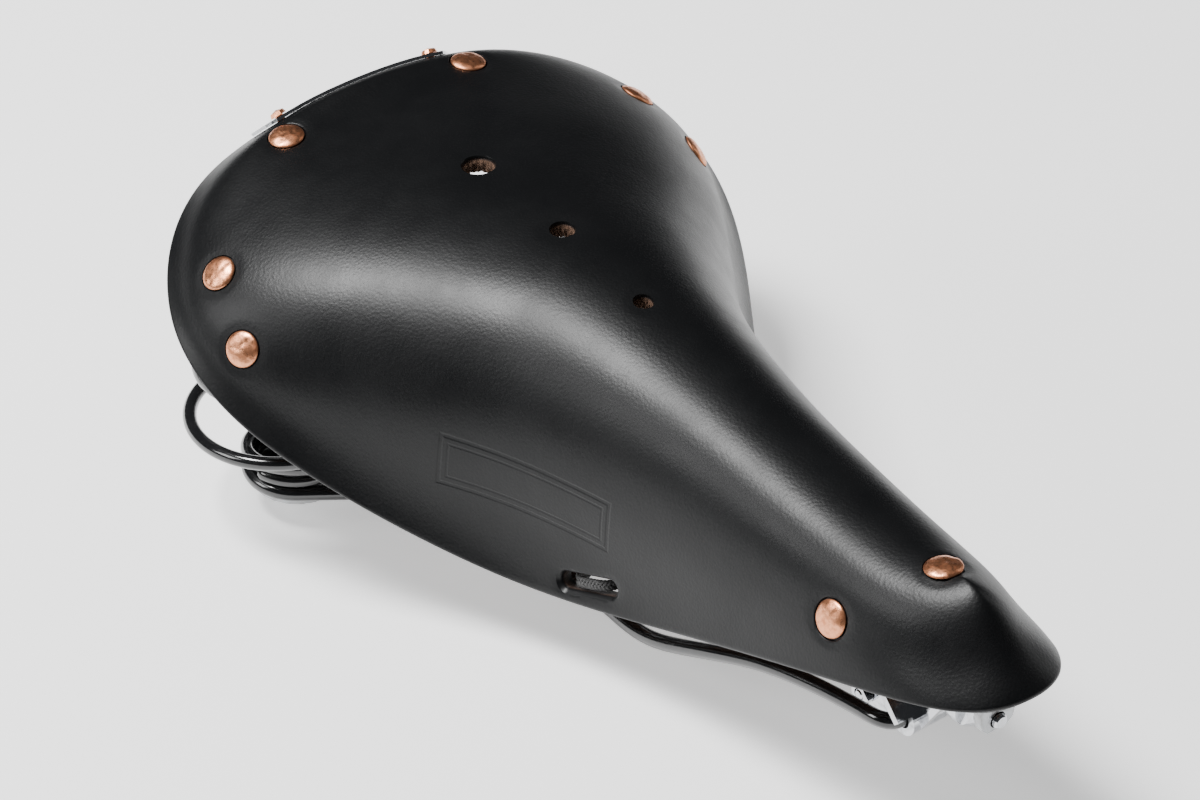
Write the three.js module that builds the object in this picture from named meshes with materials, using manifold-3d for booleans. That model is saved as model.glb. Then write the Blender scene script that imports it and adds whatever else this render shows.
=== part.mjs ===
// Leather bicycle saddle with a sprung wire undercarriage.
// Millimetres. +Z up, the nose points along -Y, and +X is to the left of a rider who faces the nose.
// Origin: midway between the two rails' clamp sections, on the rails' centre lines.
import * as THREE from "three";
import { mergeVertices } from "three/addons/utils/BufferGeometryUtils.js";
import Module from "manifold-3d";

const wasm = await Module();
wasm.setup();
const { Manifold, Mesh: SolidMesh } = wasm;

// ---------------------------------------------------------------- materials

const makeMaterial = (name, color, roughness, metalness) =>
  new THREE.MeshStandardMaterial({ name, color: new THREE.Color(color), roughness, metalness });

const black_leather = () => makeMaterial("black_leather", "#191a1b", 0.42, 0.0);
const copper = () => makeMaterial("copper", "#c9805c", 0.34, 1.0);
const chrome = () => makeMaterial("chrome", "#cfd2d4", 0.12, 1.0);
const black_enamel = () => makeMaterial("black_enamel", "#101113", 0.22, 0.3);
const zinc_steel = () => makeMaterial("zinc_steel", "#8d9092", 0.38, 1.0);
const braid = () => makeMaterial("black_braid", "#141414", 0.85, 0.0);

// ------------------------------------------------------------ solid helpers

const bare = (geometry) => {
  const g = new THREE.BufferGeometry();
  const source = geometry.index ? geometry : mergeVertices(geometry);
  g.setAttribute("position", source.getAttribute("position").clone());
  g.setIndex(Array.from(source.index.array));
  return mergeVertices(g, 1e-4);
};

// Signed volume times six: negative when the faces point inwards.
const windingOf = (p, faces) => {
  let sum = 0;
  for (let i = 0; i < faces.length; i += 3) {
    const [a, b, c] = [3 * faces[i], 3 * faces[i + 1], 3 * faces[i + 2]];
    sum += p[a] * (p[b + 1] * p[c + 2] - p[b + 2] * p[c + 1]);
    sum += p[a + 1] * (p[b + 2] * p[c] - p[b] * p[c + 2]);
    sum += p[a + 2] * (p[b] * p[c + 1] - p[b + 1] * p[c]);
  }
  return sum;
};

const faceOut = (g) => {
  const faces = Array.from(g.index.array);
  if (windingOf(g.getAttribute("position").array, faces) < 0) {
    for (let i = 0; i < faces.length; i += 3) [faces[i + 1], faces[i + 2]] = [faces[i + 2], faces[i + 1]];
    g.setIndex(faces);
  }
  return g;
};

const toSolid = (geometry) => {
  const g = faceOut(bare(geometry));
  return new Manifold(
    new SolidMesh({
      numProp: 3,
      vertProperties: Float32Array.from(g.getAttribute("position").array),
      triVerts: Uint32Array.from(g.index.array),
    }),
  );
};

const fromSolid = (solid) => {
  const mesh = solid.getMesh();
  const g = new THREE.BufferGeometry();
  const positions = new Float32Array((mesh.vertProperties.length / mesh.numProp) * 3);
  for (let i = 0; i < positions.length / 3; i++) {
    for (let k = 0; k < 3; k++) positions[3 * i + k] = mesh.vertProperties[i * mesh.numProp + k];
  }
  g.setAttribute("position", new THREE.BufferAttribute(positions, 3));
  g.setIndex(Array.from(mesh.triVerts));
  g.computeVertexNormals();
  return g;
};

const V = (x, y, z) => new THREE.Vector3(x, y, z);

const indexed = (points, faces) => {
  const g = new THREE.BufferGeometry();
  g.setAttribute(
    "position",
    new THREE.BufferAttribute(Float32Array.from(points.flatMap((p) => [p.x, p.y, p.z])), 3),
  );
  g.setIndex(faces.flat());
  return faceOut(mergeVertices(g, 1e-4));
};

// A cylinder from one point to another, as a cutting tool.
const rod = (from, to, radius, sides = 14) => {
  const axis = to.clone().sub(from);
  const g = new THREE.CylinderGeometry(radius, radius, axis.length(), sides);
  g.applyQuaternion(new THREE.Quaternion().setFromUnitVectors(V(0, 1, 0), axis.clone().normalize()));
  g.translate(...from.clone().add(to).multiplyScalar(0.5).toArray());
  return toSolid(g);
};

const block = (x0, x1, y0, y1, z0, z1) => {
  const g = new THREE.BoxGeometry(x1 - x0, y1 - y0, z1 - z0);
  g.translate((x0 + x1) / 2, (y0 + y1) / 2, (z0 + z1) / 2);
  return toSolid(g);
};

// A turned shape: [radius, height] pairs about Z.
const turned = (profile, sides) => {
  const g = new THREE.LatheGeometry(profile.map(([r, z]) => new THREE.Vector2(r, z)), sides);
  g.rotateX(Math.PI / 2);
  return faceOut(bare(g));
};

// A hexagonal prism with turned-down corners, with or without a hole, from z = 0 up to height.
const hexagon = (acrossFlats, height, hole) => {
  const corner = acrossFlats / Math.sqrt(3);
  const prism = new THREE.CylinderGeometry(corner, corner, height, 6);
  prism.rotateX(Math.PI / 2);
  prism.translate(0, 0, height / 2);
  const trim = 0.42 * (corner - acrossFlats / 2) + 0.15;
  const envelope = turned(
    [[0, 0], [acrossFlats / 2, 0], [corner + 0.02, trim], [corner + 0.02, height - trim],
      [acrossFlats / 2, height], [0, height]],
    12,
  );
  let solid = toSolid(prism).intersect(toSolid(envelope));
  if (hole) solid = solid.subtract(rod(V(0, 0, -1), V(0, 0, height + 1), hole, 20));
  return fromSolid(solid);
};

// A round wire through points, closed at both ends.
const wire = (points, radius, sides) => {
  const n = points.length;
  const tangents = points.map((p, i) =>
    points[Math.min(i + 1, n - 1)].clone().sub(points[Math.max(i - 1, 0)]).normalize(),
  );
  let side = Math.abs(tangents[0].z) < 0.9 ? V(0, 0, 1) : V(1, 0, 0);
  side.sub(tangents[0].clone().multiplyScalar(side.dot(tangents[0]))).normalize();
  const ring = [];
  for (let i = 0; i < n; i++) {
    if (i > 0) {
      const turn = new THREE.Quaternion().setFromUnitVectors(tangents[i - 1], tangents[i]);
      side.applyQuaternion(turn);
      side.sub(tangents[i].clone().multiplyScalar(side.dot(tangents[i]))).normalize();
    }
    const other = tangents[i].clone().cross(side);
    for (let k = 0; k < sides; k++) {
      const a = (2 * Math.PI * k) / sides;
      const across = side.clone().multiplyScalar(radius * Math.cos(a));
      ring.push(points[i].clone().add(across).addScaledVector(other, radius * Math.sin(a)));
    }
  }
  const faces = [];
  for (let i = 0; i < n - 1; i++) {
    for (let k = 0; k < sides; k++) {
      const a = i * sides + k;
      const b = i * sides + ((k + 1) % sides);
      faces.push([a, b, b + sides], [a, b + sides, a + sides]);
    }
  }
  const first = ring.length;
  ring.push(points[0].clone(), points[n - 1].clone());
  for (let k = 0; k < sides; k++) {
    const next = (k + 1) % sides;
    faces.push([first, next, k]);
    faces.push([first + 1, (n - 1) * sides + k, (n - 1) * sides + next]);
  }
  return indexed(ring, faces);
};

// ------------------------------------------------------------- leather form
//
// Half the leather is a fan of ribs. Each rib runs from a point on the spine (the
// centre line of the top) over a shoulder point to a point on the cut edge. The
// stations go from the rear centre (0) to the nose tip (1).

const STATIONS = [0, 0.1, 0.2, 0.3, 0.42, 0.55, 0.68, 0.8, 0.9, 1];
const EDGE = {
  x: [0, 50, 76, 82, 72, 45, 30, 25, 17, 0],
  y: [119, 112, 90, 66, 35, -11, -63, -114, -150, -161],
  z: [70, 66, 54, 43, 28, 11, 20, 39, 50, 53],
};
const SPINE = {
  y: [103, 98, 81, 57, 31, 2, -40, -85, -117, -132],
  z: [78, 78, 79, 80.5, 81, 80, 74.5, 69.5, 68.5, 70.5],
};
const SHOULDER = {
  x: [0, 40, 69, 81, 65, 44, 30, 21.8, 15.2, 0],
  y: [110, 106, 91, 66, 28, -12, -59, -106, -136, -149],
  z: [80, 76, 65.5, 53.5, 45.5, 43, 45, 49.5, 55, 60],
};
const HOLLOW = [1, 1.5, 3, 5, 7, 6.5, 3.5, 0.5, -2, -2.5]; // how far a flank is drawn in
const CROWN = [0.55, 0.55, 0.55, 0.55, 0.55, 0.55, 0.58, 0.66, 0.66, 0.55]; // how far out the top stays level
const THICK = 4.6;

// Natural cubic spline through the stations, carried past both ends by mirror symmetry.
const splineOf = (values, odd) => {
  const sign = odd ? -1 : 1;
  const t = [-0.3, -0.2, -0.1, ...STATIONS, 1.1, 1.2, 1.32];
  const v = [3, 2, 1].map((i) => sign * values[i]).concat(values, [8, 7, 6].map((i) => sign * values[i]));
  const n = t.length;
  const curve = new Array(n).fill(0);
  const u = new Array(n).fill(0);
  for (let i = 1; i < n - 1; i++) {
    const s = (t[i] - t[i - 1]) / (t[i + 1] - t[i - 1]);
    const p = s * curve[i - 1] + 2;
    curve[i] = (s - 1) / p;
    const jump = (v[i + 1] - v[i]) / (t[i + 1] - t[i]) - (v[i] - v[i - 1]) / (t[i] - t[i - 1]);
    u[i] = ((6 * jump) / (t[i + 1] - t[i - 1]) - s * u[i - 1]) / p;
  }
  for (let i = n - 2; i >= 0; i--) curve[i] = curve[i] * curve[i + 1] + u[i];
  return (x) => {
    let k = 0;
    while (k < n - 2 && t[k + 1] < x) k++;
    const h = t[k + 1] - t[k];
    const a = (t[k + 1] - x) / h;
    const b = (x - t[k]) / h;
    return a * v[k] + b * v[k + 1] + (((a ** 3 - a) * curve[k] + (b ** 3 - b) * curve[k + 1]) * h * h) / 6;
  };
};
const edgeX = splineOf(EDGE.x, true);
const edgeY = splineOf(EDGE.y, false);
const edgeZ = splineOf(EDGE.z, false);
const spineY = splineOf(SPINE.y, false);
const spineZ = splineOf(SPINE.z, false);
const shoulderX = splineOf(SHOULDER.x, true);
const shoulderY = splineOf(SHOULDER.y, false);
const shoulderZ = splineOf(SHOULDER.z, false);
const hollow = splineOf(HOLLOW, false);
const crown = splineOf(CROWN, false);

// Cubic B-spline weights for five control points with one knot at the middle.
const ribWeights = (s) => {
  const knots = [0, 0, 0, 0, 0.5, 1, 1, 1, 1];
  const x = Math.min(Math.max(s, 0), 1 - 1e-9);
  let w = knots.slice(0, 8).map((k, i) => (x >= k && x < knots[i + 1] ? 1 : 0));
  for (let d = 1; d <= 3; d++) {
    w = w.slice(0, 8 - d).map((_, i) => {
      const left = knots[i + d] - knots[i];
      const right = knots[i + d + 1] - knots[i + 1];
      const rising = left ? ((x - knots[i]) / left) * w[i] : 0;
      const falling = right ? ((knots[i + d + 1] - x) / right) * w[i + 1] : 0;
      return rising + falling;
    });
  }
  return w;
};

// Point on the outer face of the half with x >= 0; s runs from the spine (0) to the edge (1).
const facePoint = (t, s) => {
  // the spine's steepness, read just inside both ends, where it turns back on itself
  const inside = Math.min(Math.max(t, 0.004), 0.996);
  const step = 1e-3;
  const rise = spineZ(inside + step) - spineZ(inside - step);
  const slope = rise / (spineY(inside + step) - spineY(inside - step));
  const spine = V(0, spineY(t), spineZ(t));
  const shoulder = V(shoulderX(t), shoulderY(t), shoulderZ(t));
  const edge = V(edgeX(t), edgeY(t), edgeZ(t));
  const along = crown(t) * (shoulder.y - spine.y);
  const start = V(crown(t) * shoulder.x, spine.y + along, spine.z + slope * along);
  const inward = V(edge.x, edge.y - spine.y, 0).normalize();
  const flank = edge.clone().lerp(shoulder, 0.45).addScaledVector(inward, -hollow(t));
  const w = ribWeights(s);
  const p = V(0, 0, 0);
  [spine, start, shoulder, flank, edge].forEach((q, i) => p.addScaledVector(q, w[i]));
  return p;
};

const faceNormal = (t, s) => {
  const e = 2e-3;
  const s0 = Math.max(s, 0.03);
  const dt = facePoint(t + e, s0).sub(facePoint(t - e, s0));
  const ds = facePoint(t, Math.min(s0 + e, 1)).sub(facePoint(t, s0 - e));
  const n = dt.cross(ds).normalize();
  if (t < 1e-6 || t > 1 - 1e-6 || s < 1e-6) n.x = 0;
  return n.normalize();
};

// side is +1 or -1; depth is measured into the leather from its outer face.
const shell = (t, s, side, depth) => {
  const p = facePoint(t, s);
  if (depth) p.addScaledVector(faceNormal(t, s), -depth);
  if (t < 1e-6 || t > 1 - 1e-6 || s < 1e-6) p.x = 0;
  p.x *= side;
  return p;
};
const shellNormal = (t, s, side) => {
  const n = faceNormal(t, s);
  n.x *= side;
  return n;
};

const HALF = 25; // stations round one half of a ring
const ringPath = [];
for (let i = 0; i < HALF; i++) ringPath.push([i / (HALF - 1), 1]);
for (let i = HALF - 2; i > 0; i--) ringPath.push([i / (HALF - 1), -1]);

const leatherSolid = () => {
  const rings = [];
  const outer = [0, 0.13, 0.27, 0.39, 0.5, 0.61, 0.72, 0.85, 0.975];
  outer.forEach((s) => rings.push([s, 0]));
  rings.push([0.994, 0.7], [1, 2.3], [0.994, 3.9]);
  [...outer].reverse().forEach((s) => rings.push([s, THICK]));
  const points = rings.flatMap(([s, depth]) => ringPath.map(([t, side]) => shell(t, s, side, depth)));
  const count = ringPath.length;
  const faces = [];
  for (let j = 0; j < rings.length - 1; j++) {
    for (let k = 0; k < count; k++) {
      const a = j * count + k;
      const b = j * count + ((k + 1) % count);
      faces.push([a, a + count, b + count], [a, b + count, b]);
    }
  }
  return toSolid(indexed(points, faces.filter(([a, b, c]) => a !== b && b !== c)));
};

// A sheet that follows the leather. runs is a list of [t, side]; from(t) is where it starts on each rib.
const sheetSolid = (runs, from, to, rows, top, bottom, joinsSpine) => {
  const columns = runs.length;
  const at = (depth) =>
    runs.flatMap(([t, side]) =>
      Array.from({ length: rows + 1 }, (_, j) => {
        const s = from(t) + ((to - from(t)) * j) / rows;
        return shell(t, s, side, depth);
      }),
    );
  const points = [...at(top), ...at(bottom)];
  const base = columns * (rows + 1);
  const id = (i, j) => i * (rows + 1) + j;
  const faces = [];
  for (let i = 0; i < columns - 1; i++) {
    for (let j = 0; j < rows; j++) {
      const [a, b, c, d] = [id(i, j), id(i + 1, j), id(i + 1, j + 1), id(i, j + 1)];
      faces.push([a, d, c], [a, c, b], [base + a, base + c, base + d], [base + a, base + b, base + c]);
    }
    const wall = (p, q) => faces.push([p, q, base + q], [p, base + q, base + p]);
    if (!joinsSpine) wall(id(i, 0), id(i + 1, 0));
    wall(id(i + 1, rows), id(i, rows));
  }
  for (let j = 0; j < rows; j++) {
    const wall = (p, q) => faces.push([p, q, base + q], [p, base + q, base + p]);
    wall(id(0, j + 1), id(0, j));
    wall(id(columns - 1, j), id(columns - 1, j + 1));
  }
  return toSolid(indexed(points, faces));
};

// Everything below a patch of the sheet, down to a level: used to trim what stands under it.
const underPatch = (t0, t1, s0, s1, side, depth, floor) => {
  const n = 6;
  const top = [];
  const low = [];
  for (let i = 0; i <= n; i++) {
    for (let j = 0; j <= n; j++) {
      const p = shell(t0 + ((t1 - t0) * i) / n, s0 + ((s1 - s0) * j) / n, side, depth);
      top.push(p);
      low.push(V(p.x, p.y, floor));
    }
  }
  const base = top.length;
  const id = (i, j) => i * (n + 1) + j;
  let faces = [];
  for (let i = 0; i < n; i++) {
    for (let j = 0; j < n; j++) {
      const [a, b, c, d] = [id(i, j), id(i + 1, j), id(i + 1, j + 1), id(i, j + 1)];
      faces.push([a, d, c], [a, c, b], [base + a, base + c, base + d], [base + a, base + b, base + c]);
    }
  }
  const wall = (p, q) => faces.push([p, q, base + q], [p, base + q, base + p]);
  for (let i = 0; i < n; i++) {
    wall(id(i, 0), id(i + 1, 0));
    wall(id(i + 1, n), id(i, n));
    wall(id(0, i + 1), id(0, i));
    wall(id(n, i), id(n, i + 1));
  }
  if (side < 0) faces = faces.map(([a, b, c]) => [a, c, b]);
  return toSolid(indexed([...top, ...low], faces));
};

// ------------------------------------------------------------ what goes where

const SIDES = [["left", 1], ["right", -1]]; // the rider's
const RIVETS = [
  // name, station, way down the rib
  ["rear_inner", 0.109, 0.291],
  ["rear_mid", 0.251, 0.475],
  ["rear_outer", 0.322, 0.587],
  ["nose_side", 0.815, 0.522],
];
const NOSE_TOP = [0.947, 0];
const VENTS = [
  // distance along, hole radius, radius of the dished lip
  [57, 4.3, 5.1],
  [20.7, 3.2, 3.9],
  [-12.9, 2.5, 3.1],
];
const HEAD_RADIUS = 4.75;
const SLOT = { station: 0.6145, way: 0.924, length: 18, height: 4.5 };
const RAIL_RADIUS = 2.1;
const SPRING_RADIUS = 1.9;
const COIL = { x: 52, y: 69, small: 13.3, wide: 28, upper: 14.6, low: 4.3, high: 47.8, turns: 4.7 };
const BAR = V(0, -125, 25); // centre of the rails' front bar, the saddle's rocking axis
const BOLT_Z = 37.5; // height of the tension bolt
const PLATE = { top: THICK + 0.9, bottom: THICK + 2.7 };
const BOSS_FACE = 50;

const seatedAt = (t, s, side) => ({ at: shell(t, s, side, 0), normal: shellNormal(t, s, side) });
const drill = (seat, radius, depth) => {
  const above = seat.at.clone().addScaledVector(seat.normal, 6);
  const below = seat.at.clone().addScaledVector(seat.normal, -depth);
  return rod(above, below, radius, 12);
};

const allRivets = [];
for (const [name, t, s] of RIVETS) {
  for (const [sideName, side] of SIDES) {
    allRivets.push([`rivet_${name}_${sideName}`, seatedAt(t, s, side)]);
  }
}
allRivets.push(["rivet_nose_top", seatedAt(NOSE_TOP[0], NOSE_TOP[1], 1)]);

// The slot's own frame: along it, across it, and out of the leather.
const slotFrame = (side) => {
  const { at, normal } = seatedAt(SLOT.station, SLOT.way, side);
  const rise = V(-4.4 * side, -15, 4.7).normalize();
  const along = rise.sub(normal.clone().multiplyScalar(rise.dot(normal))).normalize();
  const across = normal.clone().cross(along).normalize();
  return { at, along, across, normal };
};

const slotTool = (side) => {
  const { at, along, across, normal } = slotFrame(side);
  const r = SLOT.height / 2;
  const half = SLOT.length / 2 - r;
  const outline = new THREE.Shape();
  outline.absarc(half, 0, r, -Math.PI / 2, Math.PI / 2, false);
  outline.absarc(-half, 0, r, Math.PI / 2, (3 * Math.PI) / 2, false);
  const g = new THREE.ExtrudeGeometry(outline, { depth: 16, bevelEnabled: false, curveSegments: 6 });
  g.translate(0, 0, -9);
  g.applyMatrix4(new THREE.Matrix4().makeBasis(along, across, normal).setPosition(at));
  return toSolid(g);
};

const spineAt = (y) => {
  let [a, b] = [0, 1];
  for (let i = 0; i < 40; i++) {
    const m = (a + b) / 2;
    if (spineY(m) > y) a = m;
    else b = m;
  }
  return (a + b) / 2;
};

const makeLeather = () => {
  let solid = leatherSolid();
  for (const [, place] of allRivets) {
    solid = solid.subtract(drill(place, 2.2, 12));
    solid = solid.subtract(drill(place, HEAD_RADIUS + 0.35, 0.5));
  }
  for (const [y, hole, lip] of VENTS) {
    const t = spineAt(y);
    const place = seatedAt(t, 0, 1);
    const tool = turned([[0, -9], [hole, -9], [hole, -1.4], [lip, 0.15], [lip + 1.2, 3], [0, 3]], 22);
    tool.applyQuaternion(new THREE.Quaternion().setFromUnitVectors(V(0, 0, 1), place.normal));
    tool.translate(place.at.x, place.at.y, place.at.z);
    solid = solid.subtract(toSolid(tool));
  }
  for (const [, side] of SIDES) {
    solid = solid.subtract(slotTool(side)).subtract(drill(badgeSeat(side), 1.5, 14));
  }
  return fromSolid(solid);
};

const makeRivet = () =>
  turned(
    [[0, -7.8], [1.9, -7.8], [1.9, -0.2], [HEAD_RADIUS, -0.2], [HEAD_RADIUS - 0.2, 0.5],
      [3.1, 1.1], [0, 1.45]],
    16,
  );

// ------------------------------------------------------------ steel beneath

const rearFrom = (t) => {
  const knots = [[0, 0.08], [0.1, 0.12], [0.2, 0.26], [0.3, 0.4], [0.4, 0.5]];
  const i = Math.min(knots.length - 2, Math.floor(t * 10));
  const [a, b] = [knots[i], knots[i + 1]];
  return a[1] + ((b[1] - a[1]) * (t - a[0])) / (b[0] - a[0]);
};

const makeCantlePlate = () => {
  const stops = Array.from({ length: 12 }, (_, i) => 0.338 * (1 - i / 11));
  const runs = [...stops.map((t) => [t, 1]), ...[...stops].reverse().slice(1).map((t) => [t, -1])];
  let solid = sheetSolid(runs, rearFrom, 0.88, 4, PLATE.top, PLATE.bottom, false);
  for (const [, side] of SIDES) {
    const x = COIL.x * side;
    const boss = rod(V(x, COIL.y, BOSS_FACE), V(x, COIL.y, 90), 11.5, 18);
    solid = solid.add(boss.intersect(underPatch(0.16, 0.4, 0.02, 0.86, side, PLATE.top, 30)));
    solid = solid.subtract(rod(V(x, COIL.y, 40), V(x, COIL.y, 60.5), 2.7, 16));
  }
  for (const [name, place] of allRivets) {
    if (name.includes("rear")) solid = solid.subtract(drill(place, 2.2, 14));
  }
  for (const [, side] of SIDES) solid = solid.subtract(drill(badgeSeat(side), 1.5, 14));
  return fromSolid(solid);
};

const badgeSeat = (side) => seatedAt(0.0522, 0.78, side);

const makeBadgePlate = () => {
  const stops = Array.from({ length: 7 }, (_, i) => 0.063 * (1 - i / 6));
  const runs = [...stops.map((t) => [t, 1]), ...[...stops].reverse().slice(1).map((t) => [t, -1])];
  let solid = sheetSolid(runs, () => 0.64, 0.93, 4, -1.2, -0.3, false);
  for (const [, side] of SIDES) solid = solid.subtract(drill(badgeSeat(side), 1.5, 14));
  return fromSolid(solid);
};

const makeNosePiece = () => {
  const stops = Array.from({ length: 9 }, (_, i) => 0.785 + (0.215 * i) / 8);
  const runs = [...stops.map((t) => [t, 1]), ...[...stops].reverse().slice(1).map((t) => [t, -1])];
  let solid = sheetSolid(runs, () => 0, 0.74, 5, PLATE.top, PLATE.bottom, true);
  // The web that takes the tension bolt's push.
  const outline = new THREE.Shape();
  outline.moveTo(-3, 34.6);
  outline.lineTo(3, 34.6);
  outline.lineTo(4.8, 36.4);
  outline.lineTo(5.6, 41);
  outline.lineTo(9.5, 50);
  outline.lineTo(9.5, 75);
  outline.lineTo(-9.5, 75);
  outline.lineTo(-9.5, 50);
  outline.lineTo(-5.6, 41);
  outline.lineTo(-4.8, 36.4);
  const g = new THREE.ExtrudeGeometry(outline, { depth: 2.4, bevelEnabled: false });
  g.rotateX(Math.PI / 2);
  g.translate(0, -146.6, 0);
  const web = toSolid(g);
  for (const [, side] of SIDES) {
    solid = solid.add(web.intersect(underPatch(0.86, 1, 0, 0.74, side, PLATE.top + 0.2, 20)));
  }
  solid = solid.subtract(rod(V(0, -160, BOLT_Z), V(0, -140, BOLT_Z), 2.3, 16));
  for (const [name, place] of allRivets) {
    if (name.includes("nose")) solid = solid.subtract(drill(place, 2.2, 14));
  }
  return fromSolid(solid);
};

const hullOf = (points) => {
  const sorted = [...points].sort((a, b) => a[0] - b[0] || a[1] - b[1]);
  const turn = (o, a, b) => (a[0] - o[0]) * (b[1] - o[1]) - (a[1] - o[1]) * (b[0] - o[0]);
  const chain = (list) => {
    const out = [];
    for (const p of list) {
      while (out.length > 1 && turn(out.at(-2), out.at(-1), p) <= 0) out.pop();
      out.push(p);
    }
    return out.slice(0, -1);
  };
  return [...chain(sorted), ...chain([...sorted].reverse())];
};

const CROSS = V(0, -109.5, 21.6); // the shackle's cross bolt

// A flat shape in the saddle's middle plane, (y, z), thickened along X from one level to another.
const slab = (outline, x0, x1) => {
  const g = new THREE.ExtrudeGeometry(outline, { depth: x1 - x0, bevelEnabled: false, curveSegments: 10 });
  g.applyMatrix4(new THREE.Matrix4().makeBasis(V(0, 1, 0), V(0, 0, 1), V(1, 0, 0)));
  g.translate(x0, 0, 0);
  return toSolid(g);
};

const makeShackle = () => {
  // the cheek's outline is the taut line round these circles: [y, z, radius]
  const circles = [
    [BAR.y, BAR.z, 4.6], [CROSS.y, CROSS.z, 3.7], [-134, 43.5, 2], [-119, 43, 2.5], [-134.2, 35.2, 1.8],
  ];
  const cloud = circles.flatMap(([y, z, r]) =>
    Array.from({ length: 18 }, (_, i) => {
      const a = (i * Math.PI) / 9;
      return [y + r * Math.cos(a), z + r * Math.sin(a)];
    }),
  );
  const cheek = new THREE.Shape(hullOf(cloud).map(([y, z]) => new THREE.Vector2(y, z)));
  // the hook goes under the bar and up its front, and runs on into a plate that leans back
  const [inner, outer] = [2.6, 4.6];
  const lean = (3 * Math.PI) / 4;
  const hook = new THREE.Shape();
  hook.absarc(BAR.y, BAR.z, outer, (5 * Math.PI) / 3, lean, true);
  hook.absarc(BAR.y, BAR.z, inner, lean, (5 * Math.PI) / 3, false);
  const up = (radius, rise) =>
    new THREE.Vector2(BAR.y + (rise - radius) * Math.SQRT1_2, BAR.z + (rise + radius) * Math.SQRT1_2);
  const plate = new THREE.Shape([up(inner, -0.4), up(outer, -0.4), up(outer, 13), up(inner, 13)]);
  let solid = slab(hook, -8.3, 8.3).add(slab(plate, -12.4, 12.4));
  solid = solid.add(slab(cheek, 4, 6)).add(slab(cheek, -6, -4)).add(block(-5, 5, -136, -133.6, 33.4, 45.2));
  solid = solid.subtract(rod(V(0, -150, BOLT_Z), V(0, -110, BOLT_Z), 3.4, 20));
  solid = solid.subtract(rod(V(-15, BAR.y, BAR.z), V(15, BAR.y, BAR.z), RAIL_RADIUS + 0.45, 20));
  solid = solid.subtract(rod(V(-10, CROSS.y, CROSS.z), V(10, CROSS.y, CROSS.z), 1.75, 14));
  return fromSolid(solid);
};

// The nut turns on the bolt: a round body with two spanner flats at its front.
const makeTensionNut = () => {
  const body = turned(
    [[3.25, 0], [6, 0], [6.6, 1.2], [6.8, 3.4], [6.4, 5.6], [5.2, 7.4], [4, 8.6], [3.25, 8.6], [3.25, 0]],
    24,
  );
  const flats = block(4.7, 9, -9, 9, 5, 10).add(block(-9, -4.7, -9, 9, 5, 10));
  return fromSolid(toSolid(body).subtract(flats));
};

// ------------------------------------------------------------------- wires

const arc = (cx, cy, z, radius, from, to, steps) =>
  Array.from({ length: steps + 1 }, (_, i) => {
    const a = THREE.MathUtils.degToRad(from + ((to - from) * i) / steps);
    return V(cx + radius * Math.cos(a), cy + radius * Math.sin(a), z);
  });

// One rail, from the middle of the front bar back to the eye under the spring.
const railHalf = (side) => {
  const rise = [V(0, -125, 25), V(8, -125, 25), V(10.8, -124.2, 25), V(12.5, -121.5, 24.8),
    V(12.9, -116, 23.7), V(13, -109, 22.2), V(13.7, -100, 20.5), V(15, -90, 18.4), V(16.6, -79, 15.2),
    V(18.7, -68, 11), V(20.5, -57, 6.2), V(21.7, -48, 2.6), V(22, -41, 0.7), V(22, -35, 0), V(22, -30, 0)];
  const front = new THREE.CatmullRomCurve3(rise, false, "centripetal").getSpacedPoints(22);
  const corner = arc(38, 23.3, 0, 16, 180, 125.6, 4); // bends outward, towards the eye
  const eye = arc(COIL.x, COIL.y, 0, COIL.small, -54.4, -54.4 + 290, 16);
  const points = [...front, V(22, -10, 0), V(22, 10, 0), ...corner, ...eye];
  return points.map((p) => V(p.x * side, p.y, p.z));
};

const makeRails = () => {
  const left = railHalf(-1);
  const right = railHalf(1);
  return wire([...[...left].reverse(), ...right.slice(1)], RAIL_RADIUS, 12);
};

// A table of [turn, value] read with its corners rounded off.
const readSmooth = (table, x) => {
  const linear = (at) => {
    let i = 0;
    while (i < table.length - 2 && at > table[i + 1][0]) i++;
    const [a, b] = [table[i], table[i + 1]];
    const f = Math.min(Math.max((at - a[0]) / (b[0] - a[0]), 0), 1);
    return a[1] + (b[1] - a[1]) * f;
  };
  return [-0.08, -0.04, 0, 0.04, 0.08].reduce((sum, d) => sum + linear(x + d), 0) / 5;
};

const coilRadius = [
  [0, COIL.small], [1, COIL.small], [1.7, COIL.wide], [2.4, COIL.wide - 0.8], [2.9, 24.5],
  [4, COIL.upper], [COIL.turns, COIL.upper],
];
const coilHeight = [
  [0, COIL.low], [0.8, COIL.low], [1.16, 11.2], [1.7, 14.6], [2.9, 34.2],
  [4, COIL.high], [COIL.turns, COIL.high],
];
const coilPoint = (turn, side) => {
  const a = THREE.MathUtils.degToRad(190 + 360 * turn);
  const r = readSmooth(coilRadius, turn);
  return V(side * (COIL.x - r * Math.cos(a)), COIL.y + r * Math.sin(a), readSmooth(coilHeight, turn));
};

const makeSpring = (side) => {
  const steps = 84;
  const points = Array.from({ length: steps + 1 }, (_, i) => coilPoint((COIL.turns * i) / steps, side));
  return wire(points, SPRING_RADIUS, 8);
};

const clipAngle = (turn, side) => {
  const p = coilPoint(turn, side);
  return Math.atan2(p.y - COIL.y, p.x - side * COIL.x);
};

// A flat bar with rounded ends and a hole for the spring bolt.
const makeClip = (reach) => {
  const outline = new THREE.Shape();
  outline.absarc(reach, 0, 3.7, -Math.PI / 2, Math.PI / 2, false);
  outline.absarc(-reach, 0, 3.7, Math.PI / 2, (3 * Math.PI) / 2, false);
  const hole = new THREE.Path();
  hole.absarc(0, 0, 2.7, 0, 2 * Math.PI, true);
  outline.holes.push(hole);
  return new THREE.ExtrudeGeometry(outline, { depth: 1.6, bevelEnabled: false, curveSegments: 7 });
};

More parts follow.
